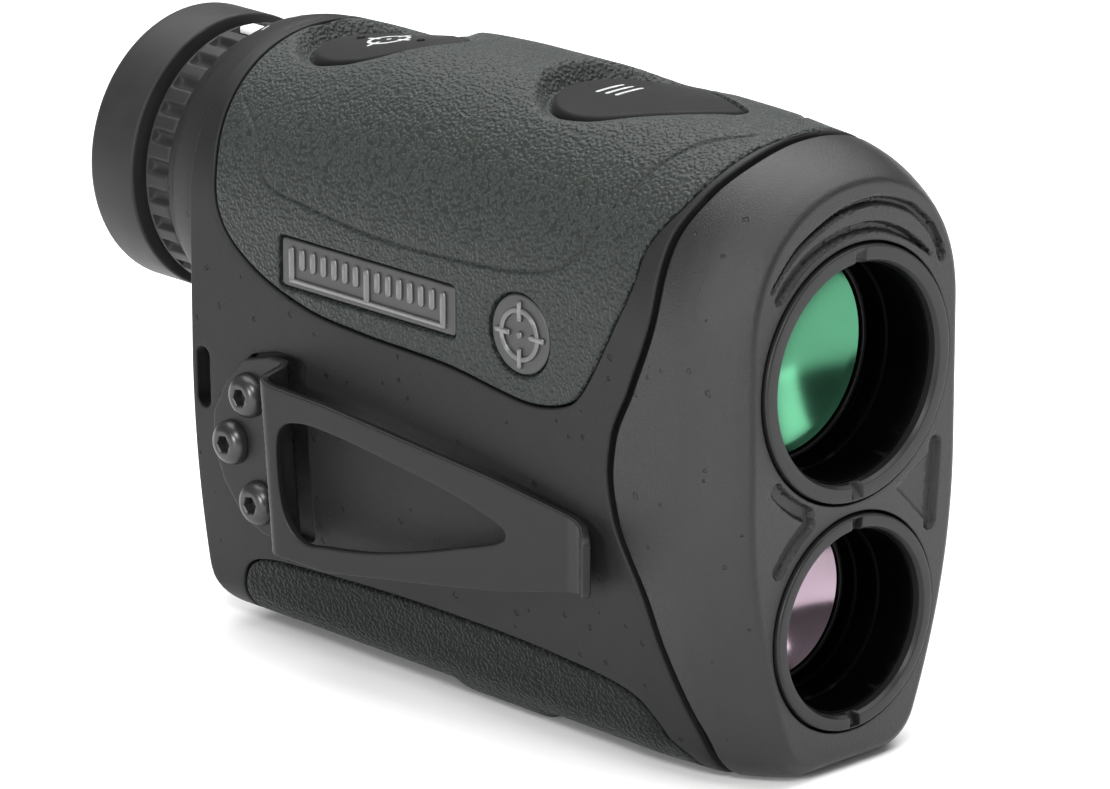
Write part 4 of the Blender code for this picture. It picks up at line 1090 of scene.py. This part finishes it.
def make_eyepiece():
    outer = spline([(-90.4, 19.45), (-91.6, 19.85), (-93.0, 19.75), (-94.5, 19.45), (-96.4, 18.9),
                    (-97.7, 18.15), (-98.5, 17.5), (-99.2, 17.15)], 0.35, closed=False)
    shroud = [tuple(p) for p in outer] + [(-99.75, 17.05), (-99.9, 16.9), (-99.9, 13.5), (-90.4, 13.5)]
    turned_piece("eyepiece_shroud", "housing_polymer", "root", ["eyepiece_collar"], shroud, EYEPIECE_Z, 256)

    tube = [(-70.0, 8.2), (-70.0, 9.4), (-88.3, 9.4), (-88.3, 13.2), (-105.4, 13.2), (-105.5, 13.05),
            (-112.2, 13.05), (-112.4, 12.9), (-112.4, 12.0), (-90.0, 12.0), (-90.0, 8.2)]
    turned_piece("eyepiece_sleeve", "barrel_black", "root", ["eyepiece_tube"],
                 fillet(tube, 0.08, steps=2), EYEPIECE_Z)

    inner = ringed(-108.9, -98.7, 10.62, 0.6, 0.14, 0.5)
    cell = [(-95.0, 9.2), (-95.0, 11.7), (-109.0, 11.7)] + inner + [(-98.6, 9.2)]
    turned_piece("eyepiece_lens_cell", "barrel_black", "focus_cell", ["eyepiece_cell"], cell, EYEPIECE_Z)
    make_lens("eye_lens_glass", "eye_lens", "eye_coated_glass", -103.8, 26.0, -3.2, 10.3, EYEPIECE_Z,
              "focus_cell")

    low, high = box_mm("eye_lens_retainer")
    ring = fillet([(low[0], 9.3), (low[0], 10.3), (high[0], 10.3), (high[0], 8.9)], 0.15, steps=3)
    turned_piece("eye_lens_ring", "barrel_black", "focus_cell", ["eye_lens_retainer"], ring, EYEPIECE_Z)

    low, high = box_mm("eyecup_guide")
    grooves = ringed(low[0] + 0.1, high[0] - 0.1, 14.45, 1.1, 0.12, 0.4)
    guide = [(low[0], 13.5), (low[0], 14.45)] + grooves + [(high[0], 14.45), (high[0], 13.5)]
    turned_piece("eyecup_slide_ring", "barrel_black", "eyecup_guide", ["eyecup_guide"], guide, EYEPIECE_Z)

    section = [(-106.0, 14.9), (-106.0, 17.5), (RIM_X, 17.5), (RIM_X, 12.9), (-112.7, 12.8), (-112.7, 14.9)]
    cup = fillet(section, [0.2, 0.42, 1.15, 0.7, 0.3, 0.3], steps=7)
    turned_piece("eyecup_soft", "eyecup_rubber", "eyecup", ["eyecup"], cup, EYEPIECE_Z, 288)
    make_diopter_ring()
    make_dial_marks()


TEETH = 28


def make_diopter_ring():
    """Focusing ring: square-cut ribs between scooped valleys, with a seat for the index block."""
    shell = Shell()
    count = TEETH * 20
    low, high = box_mm("diopter_ring")
    back, front = low[0], high[0]
    theta = ring_angles(count)
    phase = ((theta - math.pi / 2) * TEETH / (2 * math.pi) + 0.5) % 1.0 - 0.5
    valley = smooth_step(0.22, 0.31, np.abs(phase))
    scoop = 0.55 + 0.45 * np.cos((np.abs(phase) - 0.5) * math.pi / 0.56)
    seat = 1 - smooth_step(1.35, 1.5, np.abs(16.0 * np.cos(theta)) + 40 * (np.sin(theta) < 0))
    rows = []
    profile = [(back, 0.0, 0.9), (back + 0.15, 0.0, 0.35), (back + 0.4, 0.0, 0.12), (back + 0.75, 0.15, 0.0),
               (back + 1.0, 0.8, 0.0), (back + 1.3, 1.0, 0.0), (back + 2.2, 1.0, 0.0), (back + 3.2, 1.0, 0.0),
               (front - 0.9, 0.95, 0.0), (front - 0.45, 0.9, 0.0), (front - 0.22, 0.9, 0.05),
               (front, 0.9, 0.25)]
    for x, cut, less in profile:
        radius = 16.6 - less - 1.0 * cut * valley * scoop
        seated = seat * (1 if back + 0.9 < x < front - 0.3 else 0)
        radius = np.where(seated > 0, radius * (1 - seated) + 15.75 * seated, radius)
        rows.append(shell.ring(x, radius, EYEPIECE_Z, count))
    rows += [shell.ring(x, 13.5, EYEPIECE_Z, count) for x in (front, back)]
    shell.bridge_all(rows, around=True)
    shell.piece("diopter_ribbed_ring", "eyecup_rubber", "diopter", ["diopter_ring"])

    shell = Shell()
    low, high = box_mm("diopter_index")
    loop = resample(fillet(rectangle(low[0], high[0], low[1], high[1]), 0.3), 0.15)

    def on_ring(flat, depth=0.0):
        height = np.sqrt((high[2] - EYEPIECE_Z) ** 2 - flat[:, 1] ** 2 * 0.6)
        return np.column_stack([flat, EYEPIECE_Z + height - depth])

    shell.slab(loop, rounded_edge(0.18, 0.75), on_ring, 0.25)
    shell.piece("diopter_index_block", "index_white", "diopter", ["diopter_index"])


def bar(centre, length, width, angle=0.0):
    """Rounded bar outline."""
    half, side = length / 2, width / 2
    corners = rectangle(-half, half, -side, side)
    turn = np.array([[math.cos(angle), math.sin(angle)], [-math.sin(angle), math.cos(angle)]])
    return resample(fillet(corners, side * 0.45, steps=4) @ turn + centre, min(0.2, width / 3))


def raised(shell, outlines, place, height, edge, spacing=0.3):
    """Raised mark from an outer outline and its holes, standing on a surface."""
    loops = []
    for number, outline in enumerate(outlines):
        rows = [(distance, depth - height) for distance, depth in rounded_edge(edge, height + 0.06, 3)]
        indices, flat = edged(shell, turned_to(outline, number == 0), rows, place)
        loops.append((indices[-1], flat))
    shell.fill(loops, lambda flat: place(flat, -height), spacing)


def reticle_bars(shell, centre, reach, size, place, height, edge):
    """Four raised bars across a reticle's ring."""
    for angle in np.radians((0, 90, 180, 270)):
        middle = (centre[0] + reach * math.cos(angle), centre[1] + reach * math.sin(angle))
        raised(shell, [bar(middle, *size, angle)], place, height, edge)


def make_dial_marks():
    """Minus, zero and plus printed on the shroud beside the focusing ring."""
    def on_shroud(flat, depth=0.0):
        radius = np.interp(-flat[:, 0], [94.5, 96.4, 97.7], [19.45, 18.9, 18.15]) + 0.03 - depth
        angle = math.pi / 2 - flat[:, 1] / 18.9
        return np.column_stack([flat[:, 0], radius * np.cos(angle), EYEPIECE_Z + radius * np.sin(angle)])

    shell = Shell()
    x = -95.4
    raised(shell, [bar((x, -4.6), 0.28, 1.3)], on_shroud, 0.03, 0.02, 0.2)
    zero = [resample(circle(1.0, 40) * size + [x, 0.0], 0.12) for size in ((0.72, 0.52), (0.46, 0.27))]
    raised(shell, zero, on_shroud, 0.03, 0.02, 0.2)
    raised(shell, [bar((x, 4.6), 0.28, 1.3)], on_shroud, 0.03, 0.02, 0.2)
    raised(shell, [bar((x, 4.6), 1.3, 0.28)], on_shroud, 0.035, 0.02, 0.2)
    shell.piece("dial_marks", "printed_white", "root")


# ---------------------------------------------------------------- buttons

def make_button(name, body, replaced, button):
    shell = Shell()

    def on_button(flat, depth=0.0):
        height = button_height(button, flat[:, 0], flat[:, 1])
        return np.column_stack([flat, height - depth])

    shell.slab(button_loop(button, -0.05), rounded_edge(0.85, 1.9, 7), on_button, 0.6)
    shell.piece(name, "button_rubber", body, [replaced])
    return on_button


def make_buttons():
    place = make_button("measure_button_cap", "measure_button", "measure_button", MEASURE_BUTTON)
    shell = Shell()
    raised(shell, [circle(2.7, 90, -78.2), circle(2.2, 80, -78.2)], place, 0.03, 0.03)
    reticle_bars(shell, (-78.2, 0.0), 2.6, (2.0, 0.45), place, 0.035, 0.03)
    raised(shell, [circle(0.32, 24, -78.2)], place, 0.04, 0.03)
    shell.piece("measure_button_print", "printed_white", "measure_button")
    shell = Shell()
    for x in (-83.2, -72.6):
        raised(shell, [circle(0.55, 36, x, 0.0)], place, 0.28, 0.25)
    shell.piece("measure_button_dots", "button_rubber", "measure_button")

    place = make_button("menu_button_cap", "menu_button", "menu_button", MENU_BUTTON)
    shell = Shell()
    for x in (-40.2, -38.6, -37.0):
        raised(shell, [bar((x, 0.0), 0.55, 4.6)], place, 0.03, 0.03)
    shell.piece("menu_button_print", "printed_white", "menu_button")


# ---------------------------------------------------------------- side marks

def on_side(y):
    """Place for (x, z) outlines on an upright plane that faces -Y."""
    return lambda flat, depth=0.0: np.column_stack([flat[:, 0], np.full(len(flat), y) + depth, flat[:, 1]])


def make_side_marks():
    face = box_mm("side_plate")[0][1]
    for name, replaced, loop in (("side_plate_panel", "side_plate", plate_loop(0.0, 0.35)),
                                 ("side_emblem_disc", "side_emblem", circle(EMBLEM[2], 120, *EMBLEM[:2]))):
        shell = Shell()
        shell.slab(loop, rounded_edge(0.22, 0.8), on_side(face), 0.7)
        shell.piece(name, "plate_metal", "root", [replaced])

    back, front, low, high = PLATE
    shell = Shell()
    ticks = 15
    for k in range(ticks):
        x = back + 1.9 + (front - back - 3.8) * k / (ticks - 1)
        length = 4.3 if k % 7 == 0 else 2.7
        raised(shell, [bar((x, high - 0.85 - length / 2), 0.95, length)], on_side(face), 0.34, 0.16)
    base_line = bar(((back + front) / 2, low + 0.95), front - back - 2.9, 0.62)
    raised(shell, [base_line], on_side(face), 0.34, 0.16)
    shell.piece("side_plate_scale", "raised_marks", "root")

    shell = Shell()
    x, z, radius = EMBLEM
    raised(shell, [circle(3.3, 120, x, z), circle(2.6, 100, x, z)], on_side(face), 0.34, 0.14)
    reticle_bars(shell, (x, z), 2.85, (2.5, 0.7), on_side(face), 0.36, 0.14)
    raised(shell, [circle(0.45, 30, x, z)], on_side(face), 0.34, 0.14)
    shell.piece("side_emblem_reticle", "raised_marks", "root")


# ---------------------------------------------------------------- belt clip

CLIP_HALF = 0.55
FOLD_LEAN = 2.0               # how far the foot of the fold stands forward of its top
CLIP_MID = [(-88.0, -21.25), (-73.6, -21.25), (-74.2, -25.33), (-24.6, -21.70), (-22.3, -21.95),
            (-20.2, -23.55)]


def sheet(shell, outlines, place, half, edge, spacing):
    """Plate of even thickness with rounded edges, from an outer outline and its holes."""
    near = [(inward, down - half) for inward, down in rounded_edge(edge, edge)[::-1]]
    far = [(inward, half - down) for inward, down in rounded_edge(edge, edge)]
    faces = [], []
    for number, outline in enumerate(outlines):
        outline = turned_to(outline, number == 0)
        flats = [shifted(outline, inward) for inward, _ in near + far]
        rows = [shell.add(place(flat, offset)) for flat, (_, offset) in zip(flats, near + far)]
        shell.bridge_all(rows)
        faces[0].append((rows[0], flats[0]))
        faces[1].append((rows[-1], flats[-1]))
    for loops, offset in zip(faces, (-half, half)):
        shell.fill(loops, lambda flat: place(flat, offset), spacing)


def clip_path():
    bends = fillet(CLIP_MID, [0, 0.95, 0.95, 2.5, 1.4, 0], closed=False, steps=14)
    line = resample(bends, 0.05, closed=False)
    run = line[0][0] + np.concatenate([[0.0], np.cumsum(np.hypot(*np.diff(line, axis=0).T))])
    along = np.gradient(line, axis=0)
    along /= np.linalg.norm(along, axis=1)[:, None]
    return line, run, np.column_stack([-along[:, 1], along[:, 0]])


def make_clip():
    """Sprung steel strip: base under the screws, step outwards, long windowed arm and turned-out lip."""
    line, run, across = clip_path()
    arm = line[:, 0] > -72.0
    tip = run[-1]

    def unrolled(points):
        points = np.asarray(points, float)
        s = np.where(points[:, 0] > -72.4, np.interp(points[:, 0], line[arm, 0], run[arm]), points[:, 0])
        return np.column_stack([s, points[:, 1]])

    def on_clip(flat, offset=0.0):
        offset = np.broadcast_to(offset, len(flat))
        lean = FOLD_LEAN * np.clip((34.0 - flat[:, 1]) / 21.0, 0, 1) * smooth_step(-78.5, -75.0, flat[:, 0])
        lean *= 1 - smooth_step(-72.0, -48.0, flat[:, 0])
        x, y = (np.interp(flat[:, 0] - lean, run, line[:, i])
                + offset * np.interp(flat[:, 0] - lean, run, across[:, i]) for i in (0, 1))
        return np.column_stack([x + lean, y, flat[:, 1]])

    base = [(-74.2, 36.0)] + CLIP_BASE[1:-1] + [(-74.2, 13.0)]
    arm_low = unrolled([(-72.0, 13.0), (-63.4, 12.6), (-49.6, 14.5), (-36.5, 16.4), (-23.6, 19.2)])
    arm_high = unrolled([(-23.4, 28.2), (-36.4, 30.3), (-49.5, 31.9), (-63.3, 33.6), (-72.0, 34.2)])
    outline = np.vstack([base, arm_low, [[tip, 19.6], [tip, 26.6]], arm_high])
    radii = [0.8] * len(outline)
    radii[len(base) + len(arm_low)] = radii[len(base) + len(arm_low) + 1] = 1.0
    outline = resample(fillet(outline, radii), 0.35)
    window = spline(unrolled(CLIP_WINDOW), 0.35)
    holes = [circle(1.8, 40, x, z) for x, z in SCREW_PLACES]
    shell = Shell()
    sheet(shell, [outline, window] + holes, on_clip, CLIP_HALF, 0.24, 0.5)
    shell.piece("belt_clip_strip", "clip_steel", "root", ["belt_clip"])


def make_screws():
    """Button-head screws with hexagon sockets."""
    count = 96
    theta = ring_angles(count)
    for number, (x, z) in enumerate(SCREW_PLACES, 1):
        face = CLIP_MID[0][1] - CLIP_HALF
        hexagon = 1.0 / np.cos((theta + 0.35 + math.pi / 6) % (math.pi / 3) - math.pi / 6)
        shell = Shell()
        rows = []
        profile = [(0.93, 0.35, 1), (0.97, 1.55, 1), (1.02, 1.66, 1), (1.10, 1.71, 1), (1.45, 1.72, 0.3),
                   (1.75, 1.66, 0), (2.05, 1.52, 0), (2.32, 1.30, 0), (2.55, 1.00, 0), (2.70, 0.68, 0),
                   (2.78, 0.36, 0), (2.80, 0.12, 0), (2.72, 0.0, 0), (1.6, -0.05, 0)]
        for radius, height, flatness in profile:
            r = radius * (hexagon * flatness + 1 - flatness)
            rows.append(shell.add(np.column_stack([x + r * np.cos(theta), np.full(count, face - height),
                                                   z + r * np.sin(theta)])))
        shell.bridge_all(rows)
        shell.cap(rows[0])
        shell.piece(f"clip_screw_head_{number}", "screw_steel", "root", [f"clip_screw_{number}"])


# ---------------------------------------------------------------- battery cap and tripod insert

def make_battery_cap():
    low, high = box_mm("battery_cap")
    back = low[0]
    tab_low, tab_high = box_mm("cap_tab")
    hinge_z = tab_low[2] + 1.1
    shell = Shell()

    def on_cap(flat, depth=0.0):
        return np.column_stack([back + np.broadcast_to(depth, len(flat)), flat])

    rim = circle(11.2, 240, 0.0, BATTERY_Z)
    notch = 0.35 * smooth_step(0.72, 0.9, np.cos(ring_angles(240) * 24))
    rim = np.array([0.0, BATTERY_Z]) + (rim - [0.0, BATTERY_Z]) * (1 - notch / 11.2)[:, None]
    outer, flat = edged(shell, turned_to(rim, True), rounded_edge(0.5, 3.6), on_cap)
    plug = [shell.ring(x, 8.0, BATTERY_Z, 240) for x in (back + 3.6, high[0])]
    shell.bridge_all([outer[0]] + plug)
    shell.cap(plug[-1])
    slot = fillet(rectangle(-4.3, 4.3, hinge_z - 1.5, tab_high[2] + 1.0), 1.0)
    indices, inner = edged(shell, turned_to(resample(slot, 0.35), False), rounded_edge(0.3, 2.4), on_cap)
    shell.cap(indices[0])
    shell.fill([(outer[-1], flat), (indices[-1], inner)], on_cap, 0.8)
    shell.piece("battery_cap_disc", "housing_polymer", "battery_cap", ["battery_cap"])

    shell = Shell()
    x = (tab_low[0] + tab_high[0]) / 2
    top = tab_high[2]
    loop = resample(fillet([(-3.9, hinge_z - 0.6), (3.9, hinge_z - 0.6), (3.9, top), (1.9, top),
                            (1.3, top - 0.9), (-1.3, top - 0.9), (-1.9, top), (-3.9, top)],
                           [0.3, 0.3, 1.3, 0.6, 0.6, 0.6, 0.6, 1.3]), 0.3)

    def on_tab(flat, offset=0.0):
        return np.column_stack([np.full(len(flat), x + offset), flat])

    sheet(shell, [loop], on_tab, 0.6, 0.25, 0.6)
    barrel = []
    for y, radius in ((-3.9, 0.85), (-3.7, 1.08), (3.7, 1.08), (3.9, 0.85)):
        ring = circle(radius, 32, x, hinge_z)
        barrel.append(shell.add(np.column_stack([ring[:, 0], np.full(32, y), ring[:, 1]])))
    shell.bridge_all(barrel)
    shell.cap(barrel[0])
    shell.cap(barrel[-1])
    shell.piece("battery_cap_tab", "clip_steel", "cap_tab", ["cap_tab"])


def make_tripod_insert():
    low, high = box_mm("tripod_insert")
    shell = Shell()
    count = 96
    theta = ring_angles(count)
    profile = [(high[2] - 0.45, 0.5), (high[2] - 0.45, 3.2)]
    z = high[2] - 0.6
    while z > low[2] + 1.0:
        profile += [(z, 3.2), (z - 0.5, 3.05), (z - 0.63, 3.05), (z - 1.13, 3.3)]
        z -= 1.27
    profile += [(low[2] + 0.5, 3.35), (low[2], 3.85), (low[2], 5.75), (low[2] + 0.25, 6.0), (high[2], 6.0),
                (high[2], 0.5)]
    rows = []
    for z, radius in profile:
        rows.append(shell.add(np.column_stack([TRIPOD_X + radius * np.cos(theta), radius * np.sin(theta),
                                               np.full(count, z)])))
    shell.bridge_all(rows)
    shell.cap(rows[0])
    shell.piece("tripod_bush", "insert_brass", "root", ["tripod_insert"])


# ---------------------------------------------------------------- inside

INNER = {
    "frame_alloy": "optics_frame prism_holder",
    "screw_steel": "frame_screw_1 frame_screw_2 tab_pin",
    "barrel_black": "objective_spacer battery_tube",
    "optical_glass": "objective_rear_lens beam_splitter roof_prism display_panel field_lens",
    "circuit_board": "sensor_board button_board main_board",
    "component_metal": "light_sensor laser_diode measure_switch menu_switch",
    "insert_brass": "flex_cable contact_plate",
    "battery_wrap": "battery",
    "spring_steel": "battery_spring",
    "seal_rubber": "cap_seal",
}


def dress_inner_nodes():
    """Solids inside keep their shape and take a procedural finish."""
    for shade, nodes in INNER.items():
        for node in nodes.split():
            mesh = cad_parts[node].data
            mesh.materials.clear()
            mesh.materials.append(SHADES[shade])


# ---------------------------------------------------------------- studio

AZIMUTH, ELEVATION = math.radians(45.66), math.radians(17.6)
CAMERA_REACH, CAMERA_SIDE, CAMERA_LIFT = 818.85, 34.57, 2.37


def make_camera():
    right = Vector((math.cos(AZIMUTH), math.sin(AZIMUTH), 0.0))
    look = Vector((-math.sin(AZIMUTH) * math.cos(ELEVATION), math.cos(AZIMUTH) * math.cos(ELEVATION),
                   -math.sin(ELEVATION)))
    up = right.cross(look)
    target = Vector(ORIGIN + [0.0, 0.0, UPPER_Z])
    place = target - look * CAMERA_REACH - right * CAMERA_SIDE - up * CAMERA_LIFT
    data = bpy.data.cameras.new("camera")
    data.lens, data.sensor_width, data.sensor_fit = 231.6, 36.0, "HORIZONTAL"
    data.clip_start, data.clip_end = 0.01, 50.0
    camera = bpy.data.objects.new("camera", data)
    camera.matrix_world = Matrix.Translation(place * MM) @ Matrix((right, up, -look)).transposed().to_4x4()
    bpy.context.scene.collection.objects.link(camera)
    bpy.context.scene.camera = camera


def area_light(name, place, target, size, power):
    data = bpy.data.lights.new(name, "AREA")
    data.shape, data.size, data.size_y = "RECTANGLE", size[0], size[1]
    data.energy = power
    light = bpy.data.objects.new(name, data)
    light.location = place
    light.rotation_euler = (Vector(target) - Vector(place)).to_track_quat("-Z", "Y").to_euler()
    bpy.context.scene.collection.objects.link(light)


def make_studio():
    floor = bpy.data.meshes.new("floor")
    z = CAD_BOX[0][2] - 0.0002
    floor.from_pydata([(-9, -9, z), (9, -9, z), (9, 9, z), (-9, 9, z)], [], [(0, 1, 2, 3)])
    recipe = Recipe("floor_white", Specular_IOR_Level=0.2)
    recipe.shader.inputs["Roughness"].default_value = 0.7
    recipe.set("Base Color", recipe.blend(recipe.noise(40.0), (0.93, 0.93, 0.93), (0.95, 0.95, 0.95)))
    floor.materials.append(recipe.material)
    item = bpy.data.objects.new("floor", floor)
    bpy.context.scene.collection.objects.link(item)

    world = bpy.data.worlds.new("studio")
    bpy.context.scene.world = world
    world.use_nodes = True
    tree = world.node_tree
    background = tree.nodes["Background"]
    coordinates = tree.nodes.new("ShaderNodeTexCoord")
    split = tree.nodes.new("ShaderNodeSeparateXYZ")
    ramp = tree.nodes.new("ShaderNodeValToRGB")
    tree.links.new(coordinates.outputs["Generated"], split.inputs[0])
    tree.links.new(split.outputs["Z"], ramp.inputs[0])
    tree.links.new(ramp.outputs["Color"], background.inputs["Color"])
    for element, (position, level) in zip(ramp.color_ramp.elements, ((0.0, 0.14), (0.9, 0.40))):
        element.position, element.color = position, (level, level, level, 1)
    background.inputs["Strength"].default_value = 1.0

    area_light("overhead", (-0.15, 0.30, 1.10), (0.0, 0.0, 0.0), (1.7, 1.5), 32.0)
    area_light("key", (0.40, -0.55, 0.60), (0.0, 0.0, 0.04), (0.26, 0.26), 4.0)
    area_light("edge", (0.11, -0.76, 0.21), (0.0, 0.0, 0.05), (0.20, 0.16), 3.6)
    area_light("card", (0.42, 0.26, 0.10), (0.0, 0.0, 0.035), (0.16, 0.24), 0.45)
    bpy.context.scene.view_settings.view_transform = "Standard"


# ---------------------------------------------------------------- assembly

make_camera()
make_shades()
make_studio()
make_housing()
make_nose()
make_seal()
make_upper_grip()
make_lower_grip()
make_bezel("upper_bezel_ring", "upper_bezel", 15.3, 13.2, UPPER_Z)
make_bezel("lower_bezel_ring", "lower_bezel", 13.0, 11.2, LOWER_Z)
make_barrels()
make_retaining_rings()
make_lens("upper_lens_glass", "objective_front_lens", "green_coated_glass", -11.1, -25.0, 6.0, 12.5, UPPER_Z)
make_lens("lower_lens_glass", "lower_lens", "pink_coated_glass", -11.7, -16.0, 6.0, 9.9, LOWER_Z)
make_eyepiece()
make_buttons()
make_side_marks()
make_clip()
make_screws()
make_battery_cap()
make_tripod_insert()
dress_inner_nodes()
